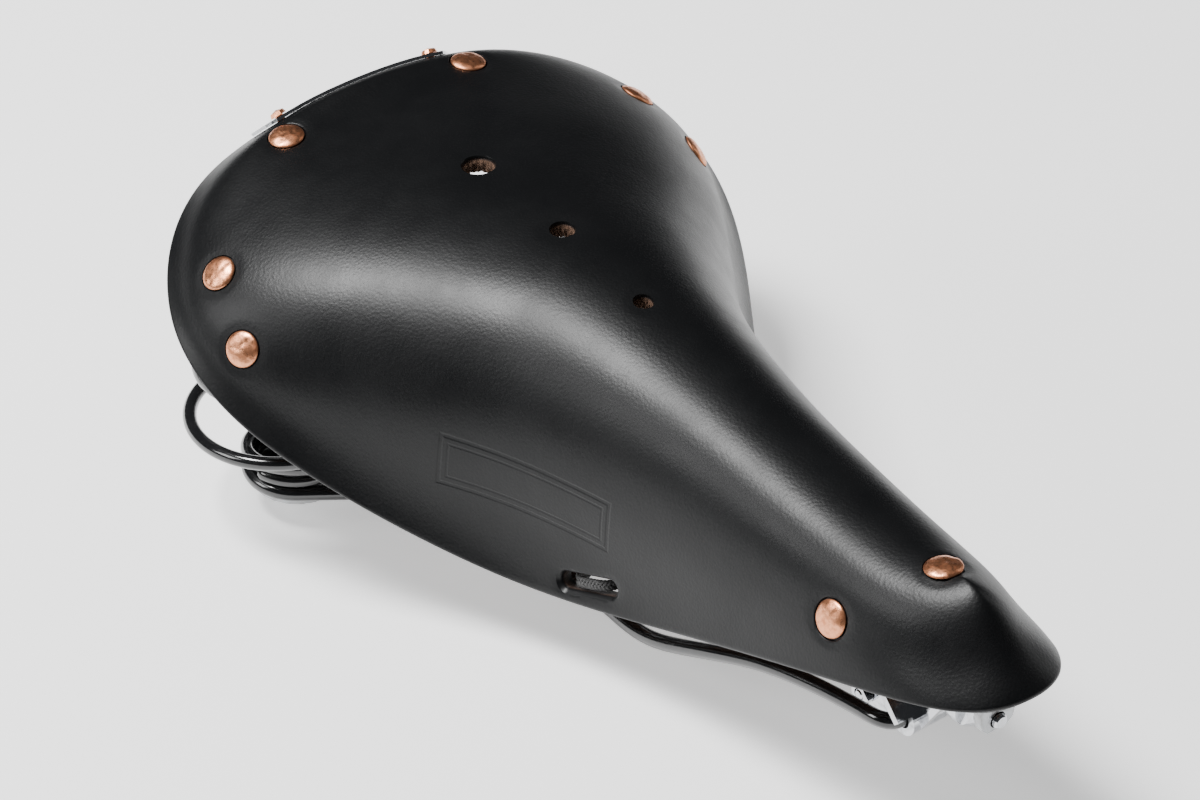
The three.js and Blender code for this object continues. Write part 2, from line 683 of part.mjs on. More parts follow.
const washer = (inner, outer, height) =>
  turned([[inner, 0], [outer, 0], [outer, height], [inner, height], [inner, 0]], 22);

// A hexagon-head bolt: the head's seat is at z = 0, the shank runs down.
const boltGeometry = (acrossFlats, headHeight, shankRadius, shankLength) =>
  fromSolid(
    toSolid(hexagon(acrossFlats, headHeight, 0)).add(
      toSolid(turned([[0, -shankLength], [shankRadius - 0.4, -shankLength], [shankRadius, -shankLength + 0.5],
        [shankRadius, 0.5], [0, 0.5]], 12)),
    ),
  );

const makeTensionBolt = () => {
  // along -Y: a turned bolt whose shoulder bears on the nose piece
  const g = turned([[0, 0], [2.6, 0], [3, 0.5], [3, 34.3], [2, 34.3], [2, 38], [1.6, 38.5], [0, 38.5]], 18);
  g.rotateX(Math.PI / 2);
  return g;
};

// ------------------------------------------------------------------- lace

const makeLace = () => {
  const half = (side) => {
    const { at, along, normal } = slotFrame(side);
    const p = (a, n) => at.clone().addScaledVector(along, a).addScaledVector(normal, n);
    const slot = [p(-6.1, -4), p(-4.6, -2), p(-2, -1.3), p(2, -1.3), p(4.6, -2), p(6.1, -4)];
    return { rear: p(-6.3, -7.5), slot, front: p(6.3, -7.5) };
  };
  const near = half(-1);
  const far = half(1);
  const rearY = near.rear.y;
  const frontY = near.front.y;
  const route = [
    V(-1.6, rearY + 1.5, 21), V(-12, rearY + 1, 20), near.rear, ...near.slot, near.front,
    V(-12, frontY - 1, 23), V(0, frontY - 1.4, 23.4), V(12, frontY - 1, 23),
    far.front, ...[...far.slot].reverse(), far.rear, V(12, rearY + 1, 20), V(1.6, rearY + 1.5, 21),
  ];
  const curve = new THREE.CatmullRomCurve3(route, false, "centripetal");
  const n = 60;
  const centre = curve.getSpacedPoints(n);
  const sideFrame = { [-1]: slotFrame(-1), [1]: slotFrame(1) };
  const points = [];
  const w = 1.5; // half the lace's width
  const h = 0.55; // half its thickness
  const section = [[-w, -h * 0.4], [-w * 0.6, -h], [w * 0.6, -h], [w, -h * 0.4], [w, h * 0.4], [w * 0.6, h],
    [-w * 0.6, h], [-w, h * 0.4]];
  centre.forEach((c, i) => {
    const tangent = centre[Math.min(i + 1, n)].clone().sub(centre[Math.max(i - 1, 0)]).normalize();
    const frame = sideFrame[c.x < 0 ? -1 : 1];
    // flat across the slot, flat underneath where it crosses
    const inSlot = Math.min(Math.max((Math.abs(c.x) - 14) / 14, 0), 1);
    const across = frame.across.clone().multiplyScalar(frame.across.y < 0 ? -inSlot : inSlot);
    const width = V(0, 1 - inSlot, 0).add(across);
    width.sub(tangent.clone().multiplyScalar(width.dot(tangent))).normalize();
    const thick = tangent.clone().cross(width);
    for (const [a, b] of section) {
      points.push(c.clone().addScaledVector(width, a).addScaledVector(thick, b));
    }
  });
  const faces = [];
  for (let i = 0; i < n; i++) {
    for (let k = 0; k < 8; k++) {
      const a = i * 8 + k;
      const b = i * 8 + ((k + 1) % 8);
      faces.push([a, b, b + 8], [a, b + 8, a + 8]);
    }
  }
  for (let k = 1; k < 7; k++) {
    faces.push([0, k + 1, k], [n * 8, n * 8 + k, n * 8 + k + 1]);
  }
  return indexed(points, faces);
};

// ---------------------------------------------------------------- assembly

const saddle = new THREE.Group();
saddle.name = "saddle";

const place = (parent, name, geometry, material, at, direction) => {
  const mesh = new THREE.Mesh(geometry, material);
  mesh.name = name;
  if (at) mesh.position.copy(at);
  if (direction) mesh.quaternion.setFromUnitVectors(V(0, 0, 1), direction);
  parent.add(mesh);
  return mesh;
};

const top = new THREE.Group();
top.name = "top";
const frame = new THREE.Group();
frame.name = "frame";
const nose = new THREE.Group();
nose.name = "nose";
saddle.add(top, frame, nose);

place(top, "leather_top", makeLeather(), black_leather());
for (const [name, seat] of allRivets) {
  place(name.includes("nose") ? nose : top, name, makeRivet(), copper(), seat.at, seat.normal);
}
place(top, "cantle_plate", makeCantlePlate(), zinc_steel());
place(top, "badge_plate", makeBadgePlate(), chrome());
for (const [sideName, side] of SIDES) {
  const seat = badgeSeat(side);
  const g = turned([[0, -9], [1.2, -9], [1.2, 1.4], [2.3, 1.4], [1.9, 2.5], [0, 3.05]], 12);
  place(top, `badge_rivet_${sideName}`, g, copper(), seat.at, seat.normal);
}
place(top, "skirt_lace", makeLace(), braid());
place(top, "shackle", makeShackle(), chrome());
const makeShackleBolt = () => boltGeometry(5.5, 2.3, 1.45, 15);
place(top, "shackle_bolt", makeShackleBolt(), chrome(), V(6.25, CROSS.y, CROSS.z), V(1, 0, 0));
place(top, "shackle_nut", hexagon(5.5, 2.3, 1.65), chrome(), V(-6.25, CROSS.y, CROSS.z), V(-1, 0, 0));

place(nose, "nose_piece", makeNosePiece(), zinc_steel());
place(nose, "tension_bolt", makeTensionBolt(), chrome(), V(0, -112, BOLT_Z));
place(nose, "tension_nut", makeTensionNut(), chrome(), V(0, -136.4, BOLT_Z), V(0, -1, 0));

place(frame, "rail_frame", makeRails(), black_enamel());
for (const [sideName, side] of SIDES) {
  const at = (z) => V(side * COIL.x, COIL.y, z);
  const fit = (parent, name, geometry, z, direction) =>
    place(parent, `spring_${name}_${sideName}`, geometry, zinc_steel(), at(z), direction);
  place(frame, `spring_${sideName}`, makeSpring(side), black_enamel());
  fit(frame, "clip_low", makeClip(10.8), 6.6).rotation.z = clipAngle(0.2, side);
  fit(frame, "bolt_low", boltGeometry(9, 3.8, 2.4, 16.2), 8.5);
  fit(frame, "washer", washer(2.75, 13.2, 1.5), -3.9);
  fit(frame, "nut", hexagon(9, 4, 2.7), -8.2);
  fit(top, "clip_high", makeClip(11.4), 44).rotation.z = clipAngle(4.15, side);
  fit(top, "bolt_high", boltGeometry(9, 3.8, 2.4, 15), 43.7, V(0, 0, -1));
}

export default saddle;
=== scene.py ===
"""A sprung leather bicycle saddle: satin black hide, hammered copper rivets, laced skirts.

Every length is in millimetres in the saddle's own frame (+Z up, nose towards -Y, origin midway
between the two rails' clamp sections) until a mesh is finished, when MM turns it into metres.
"""

import logging
import math
from dataclasses import dataclass, field
from enum import Enum
from typing import Any, Callable, Iterable, Sequence

import bmesh
import bpy
import numpy as np
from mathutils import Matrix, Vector

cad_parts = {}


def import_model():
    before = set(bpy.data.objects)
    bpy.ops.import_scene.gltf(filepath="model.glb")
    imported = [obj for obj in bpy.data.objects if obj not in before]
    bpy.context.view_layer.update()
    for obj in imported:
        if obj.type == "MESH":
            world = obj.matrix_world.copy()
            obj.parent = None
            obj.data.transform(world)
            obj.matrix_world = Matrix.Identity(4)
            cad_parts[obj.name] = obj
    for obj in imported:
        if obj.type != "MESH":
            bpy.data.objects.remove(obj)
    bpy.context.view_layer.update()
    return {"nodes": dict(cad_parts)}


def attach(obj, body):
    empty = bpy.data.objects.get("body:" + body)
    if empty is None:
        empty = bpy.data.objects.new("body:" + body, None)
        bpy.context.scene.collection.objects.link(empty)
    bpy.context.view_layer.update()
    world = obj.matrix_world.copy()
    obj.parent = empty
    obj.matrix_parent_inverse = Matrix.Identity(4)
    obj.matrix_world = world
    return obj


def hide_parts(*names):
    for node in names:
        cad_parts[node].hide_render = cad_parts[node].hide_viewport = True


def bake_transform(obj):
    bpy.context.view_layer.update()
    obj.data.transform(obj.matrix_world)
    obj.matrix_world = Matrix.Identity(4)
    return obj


log = logging.getLogger("saddle")

MM = 0.001
PIECE_SHARP = 38.0  # an edge that turns more than this many degrees stays sharp: on a new piece,
CUT_SHARP = 42.0  # on the hide once its holes are cut,
NODE_SHARP = 32.0  # and on a carried-over part
Colour = tuple[float, float, float]
Profile = Sequence[tuple[float, float]]


class Side(Enum):
    """The two halves, as the rider names them, with the sign of their X."""

    LEFT = 1
    RIGHT = -1

    @property
    def word(self) -> str:
        """The side's name in lower case, as it ends a piece's name."""
        return self.name.lower()


class Body(Enum):
    """The moving bodies that pieces ride on."""

    UNDERCARRIAGE = "undercarriage"
    SEAT = "seat"
    NOSE = "nose"


class Slot(Enum):
    """The record's finishes."""

    LEATHER = "leather"
    COPPER = "copper"
    CHROME = "chrome"
    ENAMEL = "enamel"
    STEEL = "steel"
    BRAID = "braid"


# ---------------------------------------------------------------- shader expressions


class Number:
    """A value that changes over a surface: one output socket, with arithmetic."""

    def __init__(self, paint: "Paint", socket: bpy.types.NodeSocket) -> None:
        """Keeps the socket and the material that it belongs to.

        Args:
            paint: the material that new Math nodes go into.
            socket: the output that holds the value.
        """
        self.paint = paint
        self.socket = socket

    def math(self, operation: str, *others: "Number | float") -> "Number":
        """Adds one Math node with this value first.

        Args:
            operation: the Math node's operation.
            others: the values after this one.

        Returns:
            The result.
        """
        values = {str(i): v for i, v in enumerate((self, *others))}
        node = self.paint.node("ShaderNodeMath", {"operation": operation}, values)
        return Number(self.paint, node.outputs[0])

    def __add__(self, other: "Number | float") -> "Number":
        """This value plus another."""
        return self.math("ADD", other)

    def __sub__(self, other: "Number | float") -> "Number":
        """This value less another."""
        return self.math("SUBTRACT", other)

    def __mul__(self, other: "Number | float") -> "Number":
        """This value times another."""
        return self.math("MULTIPLY", other)

    def __radd__(self, other: float) -> "Number":
        """A number plus this value."""
        return self.math("ADD", other)

    def __rmul__(self, other: float) -> "Number":
        """A number times this value."""
        return self.math("MULTIPLY", other)

    def __rsub__(self, other: float) -> "Number":
        """A number less this value."""
        return self.paint.constant(other).math("SUBTRACT", self)

    def size(self) -> "Number":
        """The value without its sign."""
        return self.math("ABSOLUTE")

    def fade(self, low: float, high: float, bottom: float = 0.0, top: float = 1.0) -> "Number":
        """Turns low..high smoothly into bottom..top and holds it past both ends.

        Args:
            low: where the result is bottom.
            high: where the result is top.
            bottom: the result at low.
            top: the result at high.

        Returns:
            The eased value.
        """
        node = self.paint.node(
            "ShaderNodeMapRange",
            {"interpolation_type": "SMOOTHSTEP"},
            {"Value": self, "From Min": low, "From Max": high, "To Min": bottom, "To Max": top},
        )
        return Number(self.paint, node.outputs[0])


class Paint:
    """One material and the nodes that make it."""

    def __init__(self, name: str) -> None:
        """Starts an empty material.

        Args:
            name: the material's name.
        """
        self.material = bpy.data.materials.new(name)
        self.material.use_nodes = True
        self.tree = self.material.node_tree
        self.tree.nodes.clear()

    def node(self, kind: str, settings: dict[str, Any], inputs: dict[str, Any]) -> bpy.types.Node:
        """Adds a node: its settings first, then what its sockets hold.

        Args:
            kind: the node's type.
            settings: property values by name.
            inputs: numbers, colours, Numbers or output sockets, by the input's identifier, name or
                place in the list.

        Returns:
            The node.
        """
        made = self.tree.nodes.new(kind)
        for name, value in settings.items():
            setattr(made, name, value)
        for key, value in inputs.items():
            socket = self._find(made.inputs, key)
            source = value.socket if isinstance(value, Number) else value
            if isinstance(source, bpy.types.NodeSocket):
                self.tree.links.new(source, socket)
            elif isinstance(source, tuple) and socket.type == "RGBA":
                socket.default_value = (*source, 1.0)
            else:
                socket.default_value = source
        return made

    @staticmethod
    def _find(sockets: Any, key: str) -> bpy.types.NodeSocket:
        """The socket with that identifier, or else that name, or else that place in the list."""
        for socket in sockets:
            if socket.identifier == key:
                return socket
        for socket in sockets:
            if socket.name == key and socket.enabled:
                return socket
        return sockets[int(key)]

    def constant(self, value: float) -> Number:
        """A plain number as the start of an expression."""
        node = self.node("ShaderNodeMath", {"operation": "ADD"}, {"0": value, "1": 0.0})
        return Number(self, node.outputs[0])

    def place(self) -> bpy.types.NodeSocket:
        """Where on the piece a point is, in metres."""
        return self.node("ShaderNodeTexCoord", {}, {}).outputs["Object"]

    def moved(self, vector: bpy.types.NodeSocket, scale: Sequence[float]) -> bpy.types.NodeSocket:
        """The place stretched by a scale on each axis."""
        node = self.node("ShaderNodeVectorMath", {"operation": "MULTIPLY"}, {"0": vector, "1": tuple(scale)})
        return node.outputs[0]

    def noise(
        self, size: float, detail: float = 2.0, rough: float = 0.5, warp: float = 0.0, at: Any = None
    ) -> Number:
        """Cloudy noise from 0 to 1.

        Args:
            size: the size of its clouds in millimetres.
            detail: how many finer layers it has.
            rough: how strong the finer layers are.
            warp: how far it is bent by itself.
            at: the place to read it at, or None for the piece's own.

        Returns:
            The noise.
        """
        inputs = {
            "Vector": at or self.place(),
            "Scale": 1 / (size * MM),
            "Detail": detail,
            "Roughness": rough,
            "Distortion": warp,
        }
        node = self.node("ShaderNodeTexNoise", {}, inputs)
        return Number(self, node.outputs["Fac"])

    def cells(self, size: float, feature: str = "F1", at: Any = None) -> Number:
        """Cell noise: the distance to the nearest cell's middle or edge, in cells.

        Args:
            size: a cell's size in millimetres.
            feature: what it measures, as the Voronoi node names it.
            at: the place to read it at, or None for the piece's own.

        Returns:
            The distance.
        """
        inputs = {"Vector": at or self.place(), "Scale": 1 / (size * MM)}
        node = self.node("ShaderNodeTexVoronoi", {"feature": feature}, inputs)
        return Number(self, node.outputs["Distance"])

    def attribute(self, name: str) -> Number:
        """A number stored on the mesh's points."""
        node = self.node("ShaderNodeAttribute", {"attribute_name": name}, {})
        return Number(self, node.outputs["Fac"])

    def axes(self) -> tuple[Number, Number, Number]:
        """The place's X, Y and Z, in metres."""
        node = self.node("ShaderNodeSeparateXYZ", {}, {"Vector": self.place()})
        return tuple(Number(self, out) for out in node.outputs)

    def mix(self, share: Number, a: Any, b: Any) -> bpy.types.NodeSocket:
        """Blends two colours.

        Args:
            share: how much of b shows.
            a: the colour or socket at 0.
            b: the colour or socket at 1.

        Returns:
            The blended colour.
        """
        inputs = {"Factor_Float": share, "A_Color": a, "B_Color": b}
        node = self.node("ShaderNodeMix", {"data_type": "RGBA"}, inputs)
        return self._find(node.outputs, "Result_Color")

    def bump(self, height: Number, depth: float, under: Any = None) -> bpy.types.NodeSocket:
        """Raises the surface where height is large.

        Args:
            height: the relief, about 0 to 1.
            depth: how far 1 stands above 0, in millimetres.
            under: a coarser relief's normal that this one lies on.

        Returns:
            The bent normal.
        """
        inputs = {"Height": height, "Distance": depth * MM, "Strength": 1.0}
        if under is not None:
            inputs["Normal"] = under
        return self.node("ShaderNodeBump", {}, inputs).outputs[0]

    def surface(self, **sockets: Any) -> bpy.types.Material:
        """Closes the material with one Principled shader.

        Args:
            sockets: what its sockets hold, with _ for the spaces in their names.

        Returns:
            The material.
        """
        inputs = {name.replace("_", " "): value for name, value in sockets.items()}
        shader = self.node("ShaderNodeBsdfPrincipled", {}, inputs)
        self.node("ShaderNodeOutputMaterial", {}, {"Surface": shader.outputs[0]})
        return self.material


# ---------------------------------------------------------------- finishes


@dataclass(frozen=True)
class Hide:
    """The moulded leather: satin black grain outside, raw flesh inside and on every cut."""

    black: Colour = (0.003, 0.0032, 0.0036)
    worn: Colour = (0.0085, 0.0088, 0.0094)
    edge: Colour = (0.028, 0.0135, 0.008)
    flesh: Colour = (0.2, 0.115, 0.075)
    flesh_dark: Colour = (0.034, 0.02, 0.0135)
    grain: float = 0.75
    grain_depth: float = 0.045
    frame_middle: tuple[float, float, float] = (38.0, -15.0, 38.0)
    frame_along: tuple[float, float, float] = (-0.312, -0.95, 0.0)
    frame_up: tuple[float, float, float] = (-0.158, 0.052, 0.985)
    frame_half: tuple[float, float] = (25.0, 6.8)

    def material(self) -> bpy.types.Material:
        """Makes the leather from its grain, pores, wear and embossed border."""
        paint = Paint("black_hide")
        raw = paint.attribute("raw")
        warp = paint.noise(6.0, 3.0)
        pebble = paint.cells(self.grain, "SMOOTH_F1").fade(0.05, 0.75, 1.0, 0.0)
        pores = paint.noise(0.32, 3.0, 0.62)
        creases = paint.noise(2.6, 4.0, 0.55, 0.6)
        skin = pebble * 0.45 + pores * 0.5 + creases * 0.25
        fibres = paint.noise(0.5, 4.0, 0.75, 1.5)
        border = self.border(paint)
        soft = paint.bump(paint.noise(26.0, 2.0) + warp * 0.15, 0.18)
        stamped = paint.bump(border, -0.15, soft)
        grained = paint.bump(skin, self.grain_depth, stamped)
        hairy = paint.bump(fibres * raw, 0.7, grained)
        wear = paint.noise(38.0, 4.0, 0.6).fade(0.45, 0.8) * 0.4 + pores.fade(0.55, 0.75) * 0.18
        black = paint.mix(wear, self.black, self.worn)
        flesh = paint.mix(fibres.fade(0.3, 0.7), self.flesh_dark, self.flesh)
        burnish = raw.fade(0.02, 0.3) * (1.0 - raw.fade(0.45, 0.7))
        colour = paint.mix(burnish * 0.85, paint.mix(raw.fade(0.4, 0.75), black, flesh), self.edge)
        matt = paint.noise(17.0, 3.0, 0.6).fade(0.25, 0.8, -0.035, 0.05) + pores.fade(0.45, 0.7, 0.0, 0.06)
        rough = raw.fade(0.35, 0.75, 0.37, 0.9) + matt + border * 0.05
        return paint.surface(
            Base_Color=colour,
            Roughness=rough,
            Normal=hairy,
            IOR=1.48,
            Specular_IOR_Level=0.24,
            Coat_Weight=raw.fade(0.0, 0.5, 0.06, 0.0),
            Coat_Roughness=0.3,
        )

    def border(self, paint: Paint) -> Number:
        """The plain double border pressed into each flank.

        Args:
            paint: the material that it belongs to.

        Returns:
            1 in the pressed lines and 0 elsewhere.
        """
        x, y, z = paint.axes()
        offset = [axis - c * MM for axis, c in zip((x.size(), y, z), self.frame_middle)]
        along = sum((axis * c for axis, c in zip(offset, self.frame_along)), start=paint.constant(0.0))
        up = sum((axis * c for axis, c in zip(offset, self.frame_up)), start=paint.constant(0.0))
        out = (along.size() - self.frame_half[0] * MM).math("MAXIMUM", up.size() - self.frame_half[1] * MM)
        outer = out.size().fade(0.0002, 0.0008, 0.8, 0.0)
        inner = (out + 0.0021).size().fade(0.0001, 0.0005, 0.5, 0.0)
        return outer.math("MAXIMUM", inner)


@dataclass(frozen=True)
class HammeredCopper:
    """Planished copper with a darker bloom where the hammer missed."""

    bright: Colour = (0.83, 0.36, 0.19)
    bloom: Colour = (0.56, 0.19, 0.09)
    tarnish: Colour = (0.06, 0.024, 0.015)
    facet: float = 1.7

    def material(self) -> bpy.types.Material:
        """Makes the copper from its facets, scratches and tarnish."""
        paint = Paint("hammered_copper")
        facets = paint.cells(self.facet, "SMOOTH_F1")
        mottle = paint.noise(1.1, 4.0, 0.65, 0.4)
        pits = paint.noise(0.28, 2.0, 0.6)
        scratches = paint.noise(0.7, 3.0, 0.7, 0.0, paint.moved(paint.place(), (1.0, 0.12, 0.5)))
        depth = paint.attribute("recess")
        colour = paint.mix(mottle.fade(0.42, 0.72) * 0.75, self.bright, self.bloom)
        colour = paint.mix(depth * 0.9 + pits.fade(0.62, 0.8) * 0.35, colour, self.tarnish)
        rough = mottle.fade(0.3, 0.75, 0.26, 0.42) + depth * 0.3 + scratches.fade(0.5, 0.8, 0.0, 0.1)
        dents = paint.bump(facets, 0.1)
        fine = paint.bump(mottle * 0.7 + pits * 0.3, 0.045, dents)
        return paint.surface(Base_Color=colour, Metallic=1.0, Roughness=rough, Normal=fine)


@dataclass(frozen=True)
class Plating:
    """Chrome or zinc over steel."""

    name: str
    colour: Colour
    dull: Colour
    shine: float
    smear: float
    relief: float

    def material(self) -> bpy.types.Material:
        """Makes the plating from its smears, specks and fine polishing lines."""
        paint = Paint(self.name)
        smears = paint.noise(4.0, 4.0, 0.6, 0.5)
        specks = paint.cells(0.9).fade(0.0, 0.14, 1.0, 0.0) * paint.noise(3.0, 2.0).fade(0.5, 0.62)
        lines = paint.noise(0.35, 3.0, 0.6, 0.0, paint.moved(paint.place(), (0.15, 1.0, 1.0)))
        colour = paint.mix(smears.fade(0.4, 0.8) * 0.6 + specks * 0.5, self.colour, self.dull)
        rough = smears.fade(0.35, 0.75, self.shine, self.shine + self.smear) + specks * 0.25
        normal = paint.bump(lines + smears * 0.5, self.relief)
        return paint.surface(Base_Color=colour, Metallic=1.0, Roughness=rough, Normal=normal)


@dataclass(frozen=True)
class Enamel:
    """Stoved gloss black over steel wire, with the faint orange peel that it dries to."""

    black: Colour = (0.0065, 0.0066, 0.0072)
    dust: Colour = (0.045, 0.043, 0.04)

    def material(self) -> bpy.types.Material:
        """Makes the enamel from its orange peel, dust and rubbed patches."""
        paint = Paint("gloss_enamel")
        peel = paint.noise(1.4, 2.0, 0.45)
        dust = paint.noise(9.0, 5.0, 0.65).fade(0.52, 0.82) * paint.noise(0.4, 2.0).fade(0.4, 0.62)
        rub = paint.noise(5.0, 3.0, 0.6).fade(0.4, 0.8, 0.0, 0.12)
        colour = paint.mix(dust * 0.5, self.black, self.dust)
        return paint.surface(
            Base_Color=colour,
            Roughness=0.15 + rub + dust * 0.3,
            Normal=paint.bump(peel, 0.02),
            IOR=1.52,
            Coat_Weight=0.6,
            Coat_Roughness=0.06,
        )


@dataclass(frozen=True)
class Cord:
    """The waxed black yarn of the lace."""

    dark: Colour = (0.007, 0.007, 0.0075)
    light: Colour = (0.04, 0.039, 0.038)

    def material(self) -> bpy.types.Material:
        """Makes the yarn from its twisted fibres."""
        paint = Paint("waxed_yarn")
        fibres = paint.noise(0.22, 3.0, 0.7, 0.8, paint.moved(paint.place(), (1.0, 0.35, 1.0)))
        colour = paint.mix(fibres.fade(0.35, 0.75), self.dark, self.light)
        return paint.surface(
            Base_Color=colour,
            Roughness=fibres.fade(0.3, 0.8, 0.42, 0.7),
            Normal=paint.bump(fibres, 0.12),
            Sheen_Weight=0.3,
            Sheen_Roughness=0.4,
        )


@dataclass(frozen=True)
class Paper:
    """The pale sweep that the saddle is shown on."""

    white: Colour = (0.93, 0.93, 0.93)

    def material(self) -> bpy.types.Material:
        """Makes the paper from its faint tooth."""
        paint = Paint("paper")
        tooth = paint.noise(3.0, 2.0)
        return paint.surface(
            Base_Color=self.white,
            Roughness=0.9,
            Normal=paint.bump(tooth, 0.02),
            Emission_Color=self.white,
            Emission_Strength=0.7,
        )


@dataclass
class Finishes:
    """Every material, made once."""

    hide: bpy.types.Material = field(default_factory=lambda: Hide().material())
    copper: bpy.types.Material = field(default_factory=lambda: HammeredCopper().material())
    enamel: bpy.types.Material = field(default_factory=lambda: Enamel().material())
    cord: bpy.types.Material = field(default_factory=lambda: Cord().material())
    chrome: bpy.types.Material = field(
        default_factory=lambda: Plating(
            "chrome", (0.6, 0.61, 0.63), (0.16, 0.16, 0.17), 0.06, 0.1, 0.012
        ).material()
    )
    zinc: bpy.types.Material = field(
        default_factory=lambda: Plating(
            "zinc", (0.42, 0.43, 0.44), (0.22, 0.215, 0.2), 0.3, 0.18, 0.02
        ).material()
    )

    def of(self, slot: Slot) -> bpy.types.Material:
        """The material that a slot of the record stands for."""
        return {
            Slot.LEATHER: self.hide,
            Slot.COPPER: self.copper,
            Slot.CHROME: self.chrome,
            Slot.ENAMEL: self.enamel,
            Slot.STEEL: self.zinc,
            Slot.BRAID: self.cord,
        }[slot]


# ---------------------------------------------------------------- mesh making


def smoothstep(x: np.ndarray | float) -> np.ndarray:
    """Eases 0..1 and holds it past both ends."""
    held = np.clip(x, 0.0, 1.0)
    return held * held * (3 - 2 * held)


def unit(vectors: np.ndarray) -> np.ndarray:
    """The vectors at length 1."""
    return vectors / np.maximum(np.linalg.norm(vectors, axis=-1, keepdims=True), 1e-12)


Placer = Callable[[np.ndarray, np.ndarray], np.ndarray]


def rolled(
    rows: int, around: int, placer: Placer, caps: bool = True, raw: Placer | None = None
) -> bmesh.types.BMesh:
    """A flat grid rolled into a tube, a turned shape or a folded shell.

    Args:
        rows: how many faces the grid has along.
        around: how many faces it has around.
        placer: gives the points, in millimetres, for shares along and around.
        caps: whether open ends are closed with a face.
        raw: gives how raw the leather is there, or None where it isn't leather.

    Returns:
        The mesh, in metres, with meeting edges joined.
    """
    mesh = bmesh.new()
    bmesh.ops.create_grid(mesh, x_segments=rows, y_segments=around, size=1.0)
    flat = np.array([v.co[:2] for v in mesh.verts]) / 2 + 0.5
    points = placer(flat[:, 0], flat[:, 1]) * MM
    for vertex, point in zip(mesh.verts, points):
        vertex.co = point
    if raw is not None:
        layer = mesh.verts.layers.float.new("raw")
        for vertex, amount in zip(mesh.verts, raw(flat[:, 0], flat[:, 1])):
            vertex[layer] = float(amount)
    bmesh.ops.remove_doubles(mesh, verts=mesh.verts, dist=1e-7)
    if caps:
        bmesh.ops.holes_fill(mesh, edges=[e for e in mesh.edges if e.is_boundary], sides=0)
    bmesh.ops.recalc_face_normals(mesh, faces=mesh.faces)
    return mesh


def turned(profile: Profile, around: int = 48, raw_below: float | None = None) -> bmesh.types.BMesh:
    """A shape turned about Z.

    Args:
        profile: (radius, height) pairs from one end to the other.
        around: how many faces it has round the axis.
        raw_below: the height below which it cuts raw leather bare, or None where it cuts none.

    Returns:
        The mesh, in metres.
    """
    radii, heights = np.array(profile, float).T
    index = np.arange(len(radii))

    def placer(u: np.ndarray, v: np.ndarray) -> np.ndarray:
        """Points on the turned face."""
        r = np.interp(u * (len(radii) - 1), index, radii)
        z = np.interp(u * (len(radii) - 1), index, heights)
        turn = 2 * math.pi * v
        return np.stack([r * np.cos(turn), r * np.sin(turn), z], -1)

    def raw(u: np.ndarray, _: np.ndarray) -> np.ndarray:
        """1 on what is left bare below the level."""
        z = np.interp(u * (len(radii) - 1), index, heights)
        return smoothstep((raw_below + 0.5 - z) / 1.0)

    return rolled(len(radii) - 1, around, placer, caps=False, raw=None if raw_below is None else raw)


def frames_along(points: np.ndarray, start: np.ndarray) -> tuple[np.ndarray, np.ndarray, np.ndarray]:
    """Tangents and two square directions that don't twist along a line.

    Args:
        points: the line.
        start: roughly where the first direction points at its beginning.

    Returns:
        The tangents, the first directions and the second directions.
    """
    tangents = unit(np.gradient(points, axis=0))
    first = np.zeros_like(points)
    side = start
    for i, tangent in enumerate(tangents):
        side = side - tangent * (side @ tangent)
        side = side / np.linalg.norm(side)
        first[i] = side
    return tangents, first, np.cross(tangents, first)


def tube(points: np.ndarray, radius: float, around: int = 24) -> bmesh.types.BMesh:
    """A round wire along a line, its ends domed a little.

    Args:
        points: the line in millimetres.
        radius: the wire's radius.
        around: how many faces it has round.

    Returns:
        The mesh, in metres.
    """
    start = np.array([0.0, 0.0, 1.0]) if abs(unit(points[1] - points[0])[2]) < 0.9 else np.array([1.0, 0, 0])
    tangents, first, second = frames_along(points, start)
    steps = np.arange(len(points))
    lengths = np.concatenate([[0], np.cumsum(np.linalg.norm(np.diff(points, axis=0), axis=1))])
    near_end = np.minimum(lengths, lengths[-1] - lengths)
    radii = radius * np.sqrt(np.clip(1 - (1 - np.clip(near_end / 0.5, 0, 1)) ** 2 * 0.35, 0, 1))

    def placer(u: np.ndarray, v: np.ndarray) -> np.ndarray:
        """Points on the wire's face."""
        k = np.rint(u * (len(steps) - 1)).astype(int)
        turn = (2 * math.pi * v)[:, None]
        return points[k] + radii[k, None] * (first[k] * np.cos(turn) + second[k] * np.sin(turn))

    return rolled(len(points) - 1, around, placer)


def stood_on(mesh: bmesh.types.BMesh, at: np.ndarray, normal: np.ndarray) -> bmesh.types.BMesh:
    """Stands a turned shape on a face.

    Args:
        mesh: the shape, its axis on Z.
        at: where its origin goes, in millimetres.
        normal: where its Z goes.

    Returns:
        The same mesh.
    """
    turn = Vector((0, 0, 1)).rotation_difference(Vector(normal)).to_matrix().to_4x4()
    turn.translation = Vector(at) * MM
    bmesh.ops.transform(mesh, matrix=turn, verts=mesh.verts)
    return mesh


